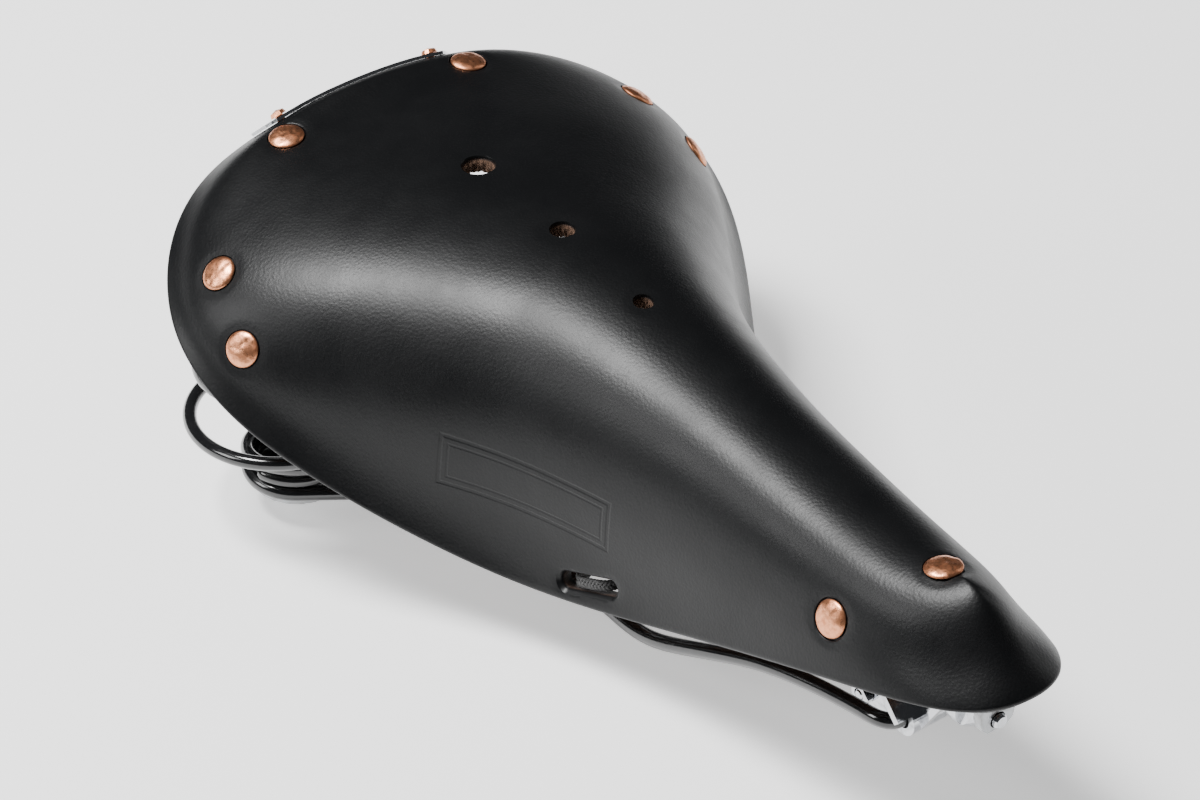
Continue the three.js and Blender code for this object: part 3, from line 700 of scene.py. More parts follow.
def finish_piece(
    mesh: bmesh.types.BMesh,
    name: str,
    finishes: Finishes,
    slot: Slot,
    replaces: Iterable[str],
    body: Body | None = None,
) -> bpy.types.Object:
    """Turns a bmesh into a shown piece.

    Args:
        mesh: the shape, in place, in metres. It is freed.
        name: the piece's name.
        finishes: the materials.
        slot: the record's finish that it takes.
        replaces: the plain nodes that it stands for.
        body: the body that it rides on, or None to attach it to none.

    Returns:
        The piece.
    """
    data = bpy.data.meshes.new(name)
    mesh.to_mesh(data)
    mesh.free()
    data.shade_smooth()
    data.set_sharp_from_angle(angle=math.radians(PIECE_SHARP))
    data.materials.append(finishes.of(slot))
    piece = bpy.data.objects.new(name, data)
    bpy.context.scene.collection.objects.link(piece)
    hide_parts(*replaces)
    if body is not None:
        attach(piece, body.value)
    log.info("%s: %d faces", name, len(data.polygons))
    return piece


# ---------------------------------------------------------------- the leather's form


class Spline:
    """A natural cubic spline through values at given places."""

    def __init__(self, places: Sequence[float], values: Any) -> None:
        """Works out the spline's curvature at its places.

        Args:
            places: where the values are, rising.
            values: one number, or one point, for each place.
        """
        self.t = np.array(places, float)
        self.v = np.array(values, float).reshape(len(self.t), -1)
        n = len(self.t)
        h = np.diff(self.t)
        system = np.eye(n)
        jump = np.zeros_like(self.v)
        slope = np.diff(self.v, axis=0) / h[:, None]
        for i in range(1, n - 1):
            system[i, i - 1 : i + 2] = h[i - 1] / 6, (h[i - 1] + h[i]) / 3, h[i] / 6
            jump[i] = slope[i] - slope[i - 1]
        self.curve = np.linalg.solve(system, jump)

    def __call__(self, x: np.ndarray) -> np.ndarray:
        """The values at the places x, with one column less for plain numbers."""
        x = np.asarray(x, float)
        k = np.clip(np.searchsorted(self.t, x) - 1, 0, len(self.t) - 2)
        h = (self.t[k + 1] - self.t[k])[..., None]
        b = (x[..., None] - self.t[k][..., None]) / h
        a = 1 - b
        bend = ((a**3 - a) * self.curve[k] + (b**3 - b) * self.curve[k + 1]) * h * h / 6
        out = a * self.v[k] + b * self.v[k + 1] + bend
        return out[..., 0] if self.v.shape[1] == 1 else out


@dataclass
class LeatherForm:
    """The face of the leather as a fan of ribs, from the spine over a shoulder to the cut edge.

    A place is (t, s): t runs from the rear centre, 0, to the nose tip, 1, and s from the spine, 0,
    to the edge, 1. Each half mirrors the other in X.
    """

    stations: tuple[float, ...] = (0, 0.1, 0.2, 0.3, 0.42, 0.55, 0.68, 0.8, 0.9, 1)
    edge_x: tuple[float, ...] = (0, 50, 76, 82, 72, 45, 30, 25, 17, 0)
    edge_y: tuple[float, ...] = (119, 112, 90, 66, 35, -11, -63, -114, -150, -161)
    edge_z: tuple[float, ...] = (70, 66, 54, 43, 28, 11, 20, 39, 50, 53)
    spine_y: tuple[float, ...] = (103, 98, 81, 57, 31, 2, -40, -85, -117, -132)
    spine_z: tuple[float, ...] = (78, 78, 79, 80.5, 81, 80, 74.5, 69.5, 68.5, 70.5)
    shoulder_x: tuple[float, ...] = (0, 40, 69, 81, 65, 44, 30, 21.8, 15.2, 0)
    shoulder_y: tuple[float, ...] = (110, 106, 91, 66, 28, -12, -59, -106, -136, -149)
    shoulder_z: tuple[float, ...] = (80, 76, 65.5, 53.5, 45.5, 43, 45, 49.5, 55, 60)
    hollow: tuple[float, ...] = (1, 1.5, 3, 5, 7, 6.5, 3.5, 0.5, -2, -2.5)
    crown: tuple[float, ...] = (0.55, 0.55, 0.55, 0.55, 0.55, 0.55, 0.58, 0.66, 0.66, 0.55)
    thick: float = 4.6
    flank: float = 0.45

    def __post_init__(self) -> None:
        """Fits the splines."""
        self.edge = self._fit(self.edge_x, self.edge_y, self.edge_z)
        self.shoulder = self._fit(self.shoulder_x, self.shoulder_y, self.shoulder_z)
        self.spine = self._fit(tuple(0.0 for _ in self.stations), self.spine_y, self.spine_z)
        self.draw_in = self._fit(self.hollow)
        self.level = self._fit(self.crown)

    def _fit(self, *columns: Sequence[float]) -> Spline:
        """A spline carried past both ends by mirror symmetry; the first of three columns is X."""
        places = [-0.3, -0.2, -0.1, *self.stations, 1.1, 1.2, 1.32]
        rows = []
        for number, column in enumerate(columns):
            sign = -1 if number == 0 and len(columns) == 3 else 1
            before = [sign * column[i] for i in (3, 2, 1)]
            after = [sign * column[i] for i in (8, 7, 6)]
            rows.append([*before, *column, *after])
        return Spline(places, np.array(rows).T)

    @staticmethod
    def _weights(s: np.ndarray) -> list[np.ndarray]:
        """Cubic B-spline weights of five control points with one knot halfway."""
        knots = [0, 0, 0, 0, 0.5, 1, 1, 1, 1]
        x = np.clip(s, 0, 1 - 1e-9)
        w = [((x >= knots[i]) & (x < knots[i + 1])).astype(float) for i in range(8)]
        for d in (1, 2, 3):
            rise = [knots[i + d] - knots[i] for i in range(9 - d)]
            w = [
                (w[i] * (x - knots[i]) / rise[i] if rise[i] else 0)
                + (w[i + 1] * (knots[i + d + 1] - x) / rise[i + 1] if rise[i + 1] else 0)
                for i in range(8 - d)
            ]
        return w

    def face(self, t: np.ndarray, s: np.ndarray) -> np.ndarray:
        """Points on the outer face of the half with positive X."""
        t, s = np.broadcast_arrays(np.asarray(t, float), np.asarray(s, float))
        inside = np.clip(t, 0.004, 0.996)
        run = self.spine(inside + 1e-3) - self.spine(inside - 1e-3)
        slope = run[..., 2] / run[..., 1]
        spine, shoulder, edge = self.spine(t), self.shoulder(t), self.edge(t)
        level = self.level(t)
        along = level * (shoulder[..., 1] - spine[..., 1])
        start = np.stack(
            [level * shoulder[..., 0], spine[..., 1] + along, spine[..., 2] + slope * along], -1
        )
        inward = unit(np.stack([edge[..., 0], edge[..., 1] - spine[..., 1], 0 * along], -1))
        flank = edge + (shoulder - edge) * self.flank - inward * self.draw_in(t)[..., None]
        weights = self._weights(s)
        return sum(w[..., None] * p for w, p in zip(weights, (spine, start, shoulder, flank, edge)))

    def normal(self, t: np.ndarray, s: np.ndarray) -> np.ndarray:
        """Directions out of the leather on the half with positive X."""
        t, s = np.broadcast_arrays(np.asarray(t, float), np.asarray(s, float))
        e = 2e-3
        held = np.maximum(s, 0.03)
        dt = self.face(t + e, held) - self.face(t - e, held)
        ds = self.face(t, np.minimum(held + e, 1)) - self.face(t, held - e)
        n = unit(np.cross(dt, ds))
        n[..., 0] = np.where((t < 1e-6) | (t > 1 - 1e-6) | (s < 1e-6), 0, n[..., 0])
        return unit(n)

    def shell(self, t: np.ndarray, s: np.ndarray, side: np.ndarray, depth: np.ndarray) -> np.ndarray:
        """Points a depth under the outer face.

        Args:
            t: places from rear to nose.
            s: places from spine to edge.
            side: the signs of the halves.
            depth: millimetres into the leather.

        Returns:
            The points.
        """
        p = self.face(t, s) - self.normal(t, s) * np.asarray(depth, float)[..., None]
        p[..., 0] = np.where((t < 1e-6) | (t > 1 - 1e-6) | (s < 1e-6), 0, p[..., 0])
        p[..., 0] *= side
        return p

    def seat(self, t: float, s: float, side: int = 1) -> tuple[np.ndarray, np.ndarray]:
        """Where something is set into the outer face.

        Args:
            t: the place from rear to nose.
            s: the place from spine to edge.
            side: the sign of the half.

        Returns:
            The point and the direction out of the leather.
        """
        flip = np.array([side, 1, 1])
        return self.face(t, s).reshape(3) * flip, self.normal(t, s).reshape(3) * flip

    def station_at(self, y: float) -> float:
        """The station whose spine point has that Y."""
        t = np.linspace(0, 1, 4001)
        return float(np.interp(-y, -self.spine(t)[:, 1], t))


@dataclass(frozen=True)
class Rivet:
    """One big rivet: where it is set and what it rides on."""

    name: str
    t: float
    s: float
    side: int
    body: Body


def all_rivets() -> list[Rivet]:
    """The six rivets at the back and the three at the nose."""
    places = [
        ("rear_inner", 0.109, 0.291, Body.SEAT),
        ("rear_mid", 0.251, 0.475, Body.SEAT),
        ("rear_outer", 0.322, 0.587, Body.SEAT),
        ("nose_side", 0.815, 0.522, Body.NOSE),
    ]
    pairs = [
        Rivet(f"rivet_{name}_{side.word}", t, s, side.value, body)
        for name, t, s, body in places
        for side in Side
    ]
    return [*pairs, Rivet("rivet_nose_top", 0.947, 0.0, 1, Body.NOSE)]


@dataclass
class Slit:
    """The obround hole in each skirt that the lace runs through."""

    form: LeatherForm
    station: float = 0.6145
    way: float = 0.924
    length: float = 18.0
    height: float = 4.5

    def frame(self, side: int) -> tuple[np.ndarray, np.ndarray, np.ndarray, np.ndarray]:
        """The slit's middle, and the directions along it, across it and out of the leather."""
        at, normal = self.form.seat(self.station, self.way, side)
        rise = unit(np.array([-4.4 * side, -15.0, 4.7]))
        along = unit(rise - normal * (rise @ normal))
        return at, along, unit(np.cross(normal, along)), normal


@dataclass
class LeatherTop:
    """The moulded hide with its vents, slits and rivet seats."""

    form: LeatherForm
    slit: Slit
    finishes: Finishes
    rows: int = 330
    outer: int = 84
    rim: int = 10
    inner: int = 22
    vents: tuple[tuple[float, float, float], ...] = ((57, 4.3, 5.1), (20.7, 3.2, 3.9), (-12.9, 2.5, 3.1))
    recess: float = 5.1
    recess_depth: float = 0.55
    dent: float = 0.2
    vent_dent: float = 0.18
    rim_drop: tuple[tuple[float, ...], ...] = (
        (0, 1, 2, 3, 5, 7, 8, 9, 10), (4.6, 4.5, 4.2, 3.75, 2.3, 0.75, 0.3, 0.07, 0.0)
    )
    rim_push: tuple[tuple[float, ...], ...] = (
        (0, 1, 2, 3, 5, 7, 8, 9, 10), (0.0, 0.4, 0.75, 0.9, 0.95, 0.9, 0.72, 0.4, 0.0)
    )

    def build(self) -> bpy.types.Object:
        """Makes the hide and cuts its vents, slits and rivet seats; it is attached to no body."""
        mesh = self._blank()
        piece = finish_piece(mesh, "saddle_leather", self.finishes, Slot.LEATHER, ["leather_top"])
        self._cut(piece)
        piece.data.set_sharp_from_angle(angle=math.radians(CUT_SHARP))
        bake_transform(piece)
        return piece

    def _blank(self) -> bmesh.types.BMesh:
        """The uncut shell: in under the spine, out round the rim and up to the spine, each side."""
        half = self.outer + self.rim + self.inner

        def placer(u: np.ndarray, v: np.ndarray) -> np.ndarray:
            """Points on the shell, from the inner spine round to the inner spine again."""
            step = np.rint(v * 2 * half)
            side = np.where(step <= half, 1, -1)
            k = np.minimum(step, 2 * half - step)
            reach = 1 - self._rim_share(u)
            radius = self.form.thick / 2
            inner = k < self.inner
            turning = (k >= self.inner) & (k < self.inner + self.rim)
            s_in = reach * k / self.inner
            s_out = reach * (half - k) / self.outer
            s = np.where(inner, s_in, np.where(turning, reach, s_out))
            step_in = np.clip(k - self.inner, 0, self.rim)
            drop = np.where(inner, 2 * radius, np.where(turning, np.interp(step_in, *self.rim_drop), 0.0))
            push = np.where(turning, np.interp(step_in, *self.rim_push), 0.0)
            drop = drop + np.where(k >= self.inner + self.rim, self._dents(u, s, side), 0.0)
            base = self.form.shell(u, s, side, drop)
            outwards = self._outwards(u)
            outwards[:, 0] *= side
            outwards[:, 0] = np.where((u < 1e-6) | (u > 1 - 1e-6), 0, outwards[:, 0])
            return base + outwards * push[:, None]

        def raw(_: np.ndarray, v: np.ndarray) -> np.ndarray:
            """0 on the finished face, 1 on the flesh side, rising round the lower half of the rim."""
            step = np.rint(v * 2 * half)
            k = np.minimum(step, 2 * half - step)
            return smoothstep((self.inner + self.rim * 0.45 - k) / (self.rim * 0.45))

        return rolled(self.rows, 2 * half, placer, caps=False, raw=raw)

    def _rim_share(self, t: np.ndarray) -> np.ndarray:
        """The share of a rib that the edge beyond the face takes."""
        e = 0.01
        length = np.linalg.norm(self.form.face(t, 1 - 1e-6) - self.form.face(t, 1 - e), axis=-1) / e
        return np.clip(max(self.rim_push[1]) / length, 0, 0.2)

    def _outwards(self, t: np.ndarray) -> np.ndarray:
        """The direction off the edge, along the face."""
        reach = 1 - self._rim_share(t)
        return unit(self.form.face(t, reach) - self.form.face(t, reach - 0.01))

    def _dents(self, t: np.ndarray, s: np.ndarray, side: np.ndarray) -> np.ndarray:
        """How far the hide is drawn in round its rivets, vents and slits, and its own slow waves."""
        points = self.form.shell(t, s, side, 0 * t)
        depth = 0.08 * np.sin(points[:, 1] * 0.11 + 1.3) * np.sin(points[:, 0] * 0.13)
        depth += 0.06 * np.sin(points[:, 1] * 0.043 + points[:, 2] * 0.09)
        for rivet in all_rivets():
            at, _ = self.form.seat(rivet.t, rivet.s, rivet.side)
            away = np.linalg.norm(points - at, axis=-1)
            depth += self.dent * (1 - smoothstep((away - self.recess) / 2.6))
        for y, _, lip in self.vents:
            at, _ = self.form.seat(self.form.station_at(y), 0.0)
            away = np.linalg.norm(points - at, axis=-1)
            depth += self.vent_dent * (1 - smoothstep((away - lip) / 2.2))
        for slope in (1, -1):
            at, along, across, _ = self.slit.frame(slope)
            x, y = (points - at) @ along, (points - at) @ across
            away = np.hypot(np.maximum(np.abs(x) - self.slit.length / 2 + 2, 0), y)
            near = np.abs((points - at) @ np.cross(along, across)) < 12
            depth += np.where(near, self.dent * (1 - smoothstep((away - 2.6) / 2.2)), 0.0)
        return depth

    def _cut(self, piece: bpy.types.Object) -> None:
        """Cuts the vents, slits and rivet seats."""
        tools = bmesh.new()
        for tool in self._tools():
            data = bpy.data.meshes.new("tool")
            tool.to_mesh(data)
            tool.free()
            tools.from_mesh(data)
            bpy.data.meshes.remove(data)
        data = bpy.data.meshes.new("tools")
        tools.to_mesh(data)
        tools.free()
        cutter = bpy.data.objects.new("tools", data)
        bpy.context.scene.collection.objects.link(cutter)
        modifier = piece.modifiers.new("cut", "BOOLEAN")
        modifier.operation = "DIFFERENCE"
        modifier.solver = "MANIFOLD"
        modifier.object = cutter
        graph = bpy.context.evaluated_depsgraph_get()
        cut = bpy.data.meshes.new_from_object(piece.evaluated_get(graph), depsgraph=graph)
        piece.modifiers.clear()
        cut.name = piece.data.name
        piece.data = cut
        bpy.data.objects.remove(cutter)

    def _tools(self) -> list[bmesh.types.BMesh]:
        """One solid for each hole."""
        made = []
        for y, hole, lip in self.vents:
            tool = self._vent_tool(hole, lip)
            made.append(stood_on(tool, *self.form.seat(self.form.station_at(y), 0.0)))
        for rivet in all_rivets():
            low = -self.recess_depth - 0.5
            profile = [
                (0, low - 8), (2.2, low - 8), (2.2, low), (self.recess, low), (self.recess, -0.55),
                (self.recess + 0.12, -0.3), (self.recess + 0.5, 0.0), (self.recess + 1.6, 2.0), (0, 2.0),
            ]
            tool = turned(profile, 56, raw_below=-3.0)
            made.append(stood_on(tool, *self.form.seat(rivet.t, rivet.s, rivet.side)))
        for side in (1, -1):
            made.append(self._slit_tool(side))
            at, normal = self.form.seat(0.0522, 0.78, side)
            tool = turned([(0, -8), (1.5, -8), (1.5, 4), (0, 4)], 24, raw_below=-2.0)
            made.append(stood_on(tool, at, normal))
        return made

    @staticmethod
    def _vent_tool(hole: float, lip: float) -> bmesh.types.BMesh:
        """A cutter with a rolled mouth, drawn in raggedly lower down where the fibres stand out.

        Args:
            hole: the vent's radius at the bottom of the roll.
            lip: the radius where the roll meets the face.

        Returns:
            The cutter, standing on Z.
        """
        roll = []
        for a in np.linspace(0, 1.35, 8):
            roll.append((hole + (lip - hole + 0.5) * (1 - math.cos(a)), -1.1 + 1.5 * math.sin(a)))
        wall = [(hole, z) for z in (-9, -4.4, -3.6, -2.8, -2.0, -1.5)]
        tool = turned([(0, -9), *wall, *roll, (lip + 1.2, 3), (0, 3)], 72, raw_below=-1.3)
        for vertex in tool.verts:
            x, y, z = (c / MM for c in vertex.co)
            a = math.atan2(y, x)
            fray = 0.14 + 0.05 * math.sin(9 * a + 2 * z) + 0.05 * math.sin(17 * a - 1.3 * z + hole)
            share = 1 - fray * float(smoothstep((-1.2 - z) / 1.2))
            vertex.co.x *= share
            vertex.co.y *= share
        return tool

    def _slit_tool(self, side: int) -> bmesh.types.BMesh:
        """An obround cutter with a flared mouth."""
        at, along, across, normal = self.slit.frame(side)
        levels = np.array([-10, -1.6, -1.0, -0.55, -0.2, 0.3, 3.0])
        flares = np.array([0, 0, 0.08, 0.28, 0.6, 1.1, 2.2])
        r = self.slit.height / 2
        half = self.slit.length / 2 - r

        def placer(u: np.ndarray, v: np.ndarray) -> np.ndarray:
            """Points on the cutter's side."""
            k = np.rint(u * (len(levels) - 1)).astype(int)
            turn = 2 * math.pi * v
            grow = r + flares[k]
            x = grow * np.cos(turn) + half * np.clip(np.cos(turn) * 1e3, -1, 1)
            y = grow * np.sin(turn)
            return at + x[:, None] * along + y[:, None] * across + levels[k][:, None] * normal

        def raw(u: np.ndarray, _: np.ndarray) -> np.ndarray:
            """1 on the walls below the flare."""
            k = np.rint(u * (len(levels) - 1)).astype(int)
            return smoothstep((-1.2 - levels[k]) / 1.0)

        return rolled(len(levels) - 1, 64, placer, raw=raw)


@dataclass
class Rivets:
    """The nine hammered heads with their shanks."""

    form: LeatherForm
    finishes: Finishes
    radius: float = 4.75
    height: float = 1.45
    brim: float = 0.12
    shank: float = 1.9
    length: float = 7.8
    sunk: float = 0.45
    dents: int = 13
    dent_radius: float = 1.5
    dent_depth: float = 0.07

    def build(self) -> None:
        """Makes every rivet with hammer marks of its own."""
        for number, rivet in enumerate(all_rivets()):
            rng = np.random.default_rng(71 + number)
            at, normal = self.form.seat(rivet.t, rivet.s, rivet.side)
            mesh = stood_on(self._one(rng), at - normal * self.sunk, normal)
            layer = mesh.verts.layers.float.new("recess")
            for vertex in mesh.verts:
                off = Vector(vertex.co) - Vector(at) * MM
                height = off.dot(Vector(normal)) / MM
                vertex[layer] = float(smoothstep(0.1 - height + self.sunk * 0.4))
            finish_piece(mesh, f"copper_{rivet.name}", self.finishes, Slot.COPPER, [rivet.name], rivet.body)

    def _one(self, rng: np.random.Generator) -> bmesh.types.BMesh:
        """One rivet standing on Z, its dome struck all over."""
        dome = []
        for a in np.linspace(0, math.pi / 2, 22):
            rise = (self.height - self.brim) * math.sin(a) ** 1.12
            dome.append((self.radius * math.cos(a) ** 0.82, self.brim + rise))
        profile = [(0, -self.length + self.sunk), (self.shank, -self.length + self.sunk), (self.shank, -0.2),
                   (self.radius - 0.25, -0.2), (self.radius - 0.05, -0.1), *dome[:-1], (0.0, self.height)]
        mesh = turned(profile, 56)
        spots = [(rng.uniform(0, 0.95) ** 0.6, rng.uniform(0, 2 * math.pi)) for _ in range(self.dents)]
        for vertex in mesh.verts:
            x, y, z = (c / MM for c in vertex.co)
            if z < 0.1:
                continue
            for share, turn in spots:
                out = self.radius * share
                away = math.hypot(x - out * math.cos(turn), y - out * math.sin(turn))
                if away < self.dent_radius:
                    strike = (1 - (away / self.dent_radius) ** 2) ** 2
                    vertex.co.z -= self.dent_depth * strike * MM
        return mesh


@dataclass
class Wires:
    """The rails, one length of round wire, and the two coil springs."""

    finishes: Finishes
    rail_radius: float = 2.1
    spring_radius: float = 1.9
    coil: tuple[float, float] = (52.0, 69.0)
    small: float = 13.3
    wide: float = 28.0
    upper: float = 14.6
    low: float = 4.3
    high: float = 47.8
    turns: float = 4.7
    first_angle: float = 190.0

    def build(self) -> None:
        """Makes the rails and both springs."""
        rails = tube(self._rail_line(), self.rail_radius, 28)
        finish_piece(rails, "wire_rails", self.finishes, Slot.ENAMEL, ["rail_frame"], Body.UNDERCARRIAGE)
        for side in Side:
            mesh = tube(self._coil_line(side.value), self.spring_radius, 24)
            name = f"spring_{side.word}"
            piece = finish_piece(mesh, f"coil_{name}", self.finishes, Slot.ENAMEL, [name])
            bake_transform(piece)

    @staticmethod
    def _arc(x: float, y: float, radius: float, start: float, end: float, steps: int) -> list[tuple]:
        """Points round a flat arc at the rails' level."""
        turns = np.radians(np.linspace(start, end, steps + 1))
        return [(x + radius * math.cos(a), y + radius * math.sin(a), 0.0) for a in turns]

    def _rail_line(self) -> np.ndarray:
        """The centre line from one spring's eye round the front to the other's."""
        rise = [(8, -125, 25), (10.8, -124.2, 25), (12.5, -121.5, 24.8), (12.9, -116, 23.7),
                (13, -109, 22.2), (13.7, -100, 20.5), (15, -90, 18.4), (16.6, -79, 15.2),
                (18.7, -68, 11), (20.5, -57, 6.2), (21.7, -48, 2.6), (22, -41, 0.7), (22, -35, 0),
                (22, -30, 0)]
        bar = [(-8, -125, 25), (-4, -125, 25), (0, -125, 25), (4, -125, 25)]
        mirrored = [(-x, y, z) for x, y, z in reversed(rise)][:-1]
        points = np.array([*mirrored, *bar, *rise], float)
        chords = np.sqrt(np.linalg.norm(np.diff(points, axis=0), axis=1))
        places = np.concatenate([[0], np.cumsum(chords)])
        front = Spline(places, points)(np.linspace(0, places[-1], 150))
        corner = self._arc(38, 23.3, 16, 180, 125.6, 12)
        eye = self._arc(*self.coil, self.small, -54.4, -54.4 + 290, 56)
        straight = [(22.0, y, 0.0) for y in np.linspace(-26, 20, 12)]
        back = np.array([*straight, *corner, *eye])
        return np.concatenate([back[::-1] * (-1, 1, 1), front, back])

    def _coil_line(self, side: int) -> np.ndarray:
        """The centre line of one spring, from its bottom end to its top end."""
        radii = [(0, self.small), (1, self.small), (1.7, self.wide), (2.4, self.wide - 0.8), (2.9, 24.5),
                 (4, self.upper), (self.turns, self.upper)]
        heights = [(0, self.low), (0.8, self.low), (1.16, 11.2), (1.7, 14.6), (2.9, 34.2),
                   (4, self.high), (self.turns, self.high)]
        turn = np.linspace(0, self.turns, 430)
        r, z = (self._soft_read(table, turn) for table in (radii, heights))
        a = np.radians(self.first_angle + 360 * turn)
        return np.stack([side * (self.coil[0] - r * np.cos(a)), self.coil[1] + r * np.sin(a), z], -1)

    @staticmethod
    def _soft_read(table: Sequence[tuple[float, float]], x: np.ndarray) -> np.ndarray:
        """A table read with its corners rounded off."""
        places, values = np.array(table, float).T
        offsets = np.linspace(-0.1, 0.1, 11)
        return np.mean([np.interp(x + d, places, values) for d in offsets], axis=0)


@dataclass
class Lace:
    """The flat braid that draws the skirts together under the waist."""

    slit: Slit
    finishes: Finishes
    strands: int = 5
    half_width: float = 1.12
    half_thick: float = 0.24
    yarn: float = 0.4
    pitch: float = 5.2

    def build(self) -> None:
        """Braids the strands along the lace's route."""
        line, width = self._route()
        lengths = np.concatenate([[0], np.cumsum(np.linalg.norm(np.diff(line, axis=0), axis=1))])
        thick = np.cross(unit(np.gradient(line, axis=0)), width)
        whole = bmesh.new()
        for strand in range(self.strands):
            phase = 2 * math.pi * (lengths / self.pitch + strand / self.strands)
            over = self.half_thick * np.sin(2 * phase)
            path = line + width * (self.half_width * np.sin(phase))[:, None] + thick * over[:, None]
            data = bpy.data.meshes.new("strand")
            one = tube(path, self.yarn, 8)
            one.to_mesh(data)
            one.free()
            whole.from_mesh(data)
            bpy.data.meshes.remove(data)
        finish_piece(whole, "braided_lace", self.finishes, Slot.BRAID, ["skirt_lace"], Body.SEAT)

    def _route(self) -> tuple[np.ndarray, np.ndarray]:
        """The lace's centre line and the direction across its width."""
        halves = {}
        for side in (-1, 1):
            at, along, _, normal = self.slit.frame(side)
            rear_half = [(-6.3, -7.5), (-6.1, -4), (-4.6, -2), (-2, -1.3)]
            stops = [*rear_half, *[(-a, n) for a, n in reversed(rear_half)]]
            halves[side] = [at + along * a + normal * n for a, n in stops]
        rear, front = halves[-1][0][1], halves[-1][-1][1]
        points = [(-1.6, rear + 1.5, 21), (-12, rear + 1, 20), *halves[-1], (-12, front - 1, 23),
                  (0, front - 1.4, 23.4), (12, front - 1, 23), *reversed(halves[1]), (12, rear + 1, 20),
                  (1.6, rear + 1.5, 21)]
        points = np.array(points, float)
        places = np.concatenate([[0], np.cumsum(np.sqrt(np.linalg.norm(np.diff(points, axis=0), axis=1)))])
        line = Spline(places, points)(np.linspace(0, places[-1], 520))
        tangents = unit(np.gradient(line, axis=0))
        in_slit = np.clip((np.abs(line[:, 0]) - 14) / 14, 0, 1)[:, None]
        across = {side: self.slit.frame(side)[2] for side in (-1, 1)}
        across = {side: a * (1 if a[1] > 0 else -1) for side, a in across.items()}
        chosen = np.where(line[:, :1] < 0, across[-1], across[1])
        width = np.array([0.0, 1.0, 0.0]) * (1 - in_slit) + chosen * in_slit
        width = width - tangents * np.sum(width * tangents, axis=1, keepdims=True)
        return line, unit(width)


@dataclass
class Hardware:
    """The carried-over steel and chrome: plates, shackle, bolts, nuts, clips and washers."""

    nodes: dict[str, bpy.types.Object]
    finishes: Finishes
    chrome: tuple[str, ...] = (
        "badge_plate", "shackle", "shackle_bolt", "shackle_nut", "tension_bolt", "tension_nut",
    )

    def build(self) -> None:
        """Softens the edges of every node that is still shown and gives it its finish."""
        for name, node in self.nodes.items():
            if node.hide_render:
                continue
            slot = self._slot(name)
            node.data.materials.clear()
            node.data.materials.append(self.finishes.of(slot))
            node.data.shade_smooth()
            node.data.set_sharp_from_angle(angle=math.radians(NODE_SHARP))
            self._soften(node)
            log.info("%s: carried over in %s", name, slot.value)

    def _slot(self, name: str) -> Slot:
        """The finish that a node takes."""
        if name.startswith("badge_rivet"):
            return Slot.COPPER
        return Slot.CHROME if name in self.chrome else Slot.STEEL

    @staticmethod
    def _soften(node: bpy.types.Object) -> None:
        """Joins flat faces and rounds the corners between them."""
        flat = node.modifiers.new("flat", "DECIMATE")
        flat.decimate_type = "DISSOLVE"
        flat.angle_limit = math.radians(2)
        bevel = node.modifiers.new("soften", "BEVEL")
        bevel.width = 0.22 * MM
        bevel.segments = 2
        bevel.limit_method = "ANGLE"
        bevel.angle_limit = math.radians(34)
        bevel.harden_normals = True


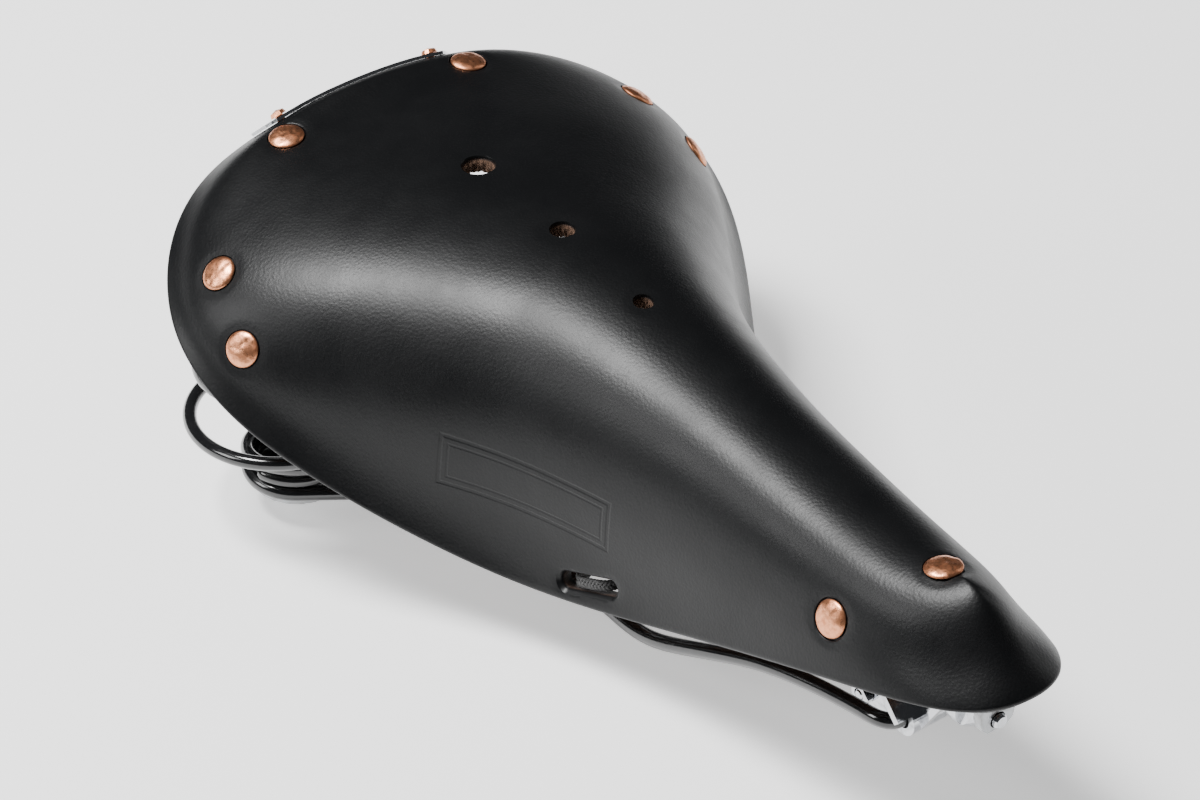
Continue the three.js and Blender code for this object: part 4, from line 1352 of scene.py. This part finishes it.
@dataclass
class Studio:
    """The paper sweep, the soft lights and the camera."""

    floor_level: float = -11.0
    target: tuple[float, float, float] = (0.0, 20.9, 11.5)
    azimuth: float = -36.14
    elevation: float = 38.57
    roll: float = -0.61
    distance: float = 1111.0
    lens: float = 127.3
    shift: tuple[float, float] = (0.0298, 0.0366)

    def build(self) -> None:
        """Sets the floor, the lights and the camera."""
        self._floor()
        self._light("key", (-0.5, 0.42, 1.35), (0.46, 0.56), 44.0)
        self._light("side", (-1.2, 0.6, 0.75), (0.5, 0.5), 7.0)
        self._light("far_strip", (1.3, -0.2, 0.7), (0.35, 1.5), 2.5)
        world = bpy.data.worlds.new("studio")
        world.use_nodes = True
        background = world.node_tree.nodes["Background"]
        background.inputs["Color"].default_value = (0.93, 0.95, 1.0, 1.0)
        background.inputs["Strength"].default_value = 0.06
        bpy.context.scene.world = world
        self._camera()

    def _floor(self) -> None:
        """A wide pale sheet under the saddle."""
        mesh = bmesh.new()
        bmesh.ops.create_grid(mesh, x_segments=2, y_segments=2, size=6.0)
        data = bpy.data.meshes.new("floor")
        mesh.to_mesh(data)
        mesh.free()
        data.materials.append(Paper().material())
        floor = bpy.data.objects.new("floor", data)
        floor.location.z = self.floor_level * MM
        bpy.context.scene.collection.objects.link(floor)

    @staticmethod
    def _light(name: str, at: Sequence[float], size: tuple[float, float], power: float) -> None:
        """A soft rectangular light that faces the saddle."""
        data = bpy.data.lights.new(name, "AREA")
        data.shape = "RECTANGLE"
        data.size, data.size_y = size
        data.energy = power
        light = bpy.data.objects.new(name, data)
        light.location = at
        light.rotation_euler = (Vector((0, 0, 0.04)) - light.location).to_track_quat("-Z", "Y").to_euler()
        bpy.context.scene.collection.objects.link(light)

    def _camera(self) -> None:
        """A long lens, looking down over the near flank from beside the nose."""
        data = bpy.data.cameras.new("camera")
        data.lens = self.lens
        data.sensor_width = 36.0
        data.shift_x, data.shift_y = self.shift
        data.clip_start, data.clip_end = 0.05, 50.0
        camera = bpy.data.objects.new("camera", data)
        a, e = math.radians(self.azimuth), math.radians(self.elevation)
        back = Vector((math.sin(a) * math.cos(e), -math.cos(a) * math.cos(e), math.sin(e)))
        camera.location = (Vector(self.target) + back * self.distance) * MM
        turn = (-back).to_track_quat("-Z", "Y").to_euler()
        turn.rotate_axis("Z", math.radians(self.roll))
        camera.rotation_euler = turn
        bpy.context.scene.collection.objects.link(camera)
        bpy.context.scene.camera = camera


def main() -> None:
    """Builds the saddle piece by piece."""
    logging.basicConfig(level=logging.INFO, format="%(name)s: %(message)s")
    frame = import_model()
    finishes = Finishes()
    form = LeatherForm()
    slit = Slit(form)
    LeatherTop(form, slit, finishes).build()
    Rivets(form, finishes).build()
    Wires(finishes).build()
    Lace(slit, finishes).build()
    Hardware(frame["nodes"], finishes).build()
    Studio().build()


if __name__ == "__main__":
    main()
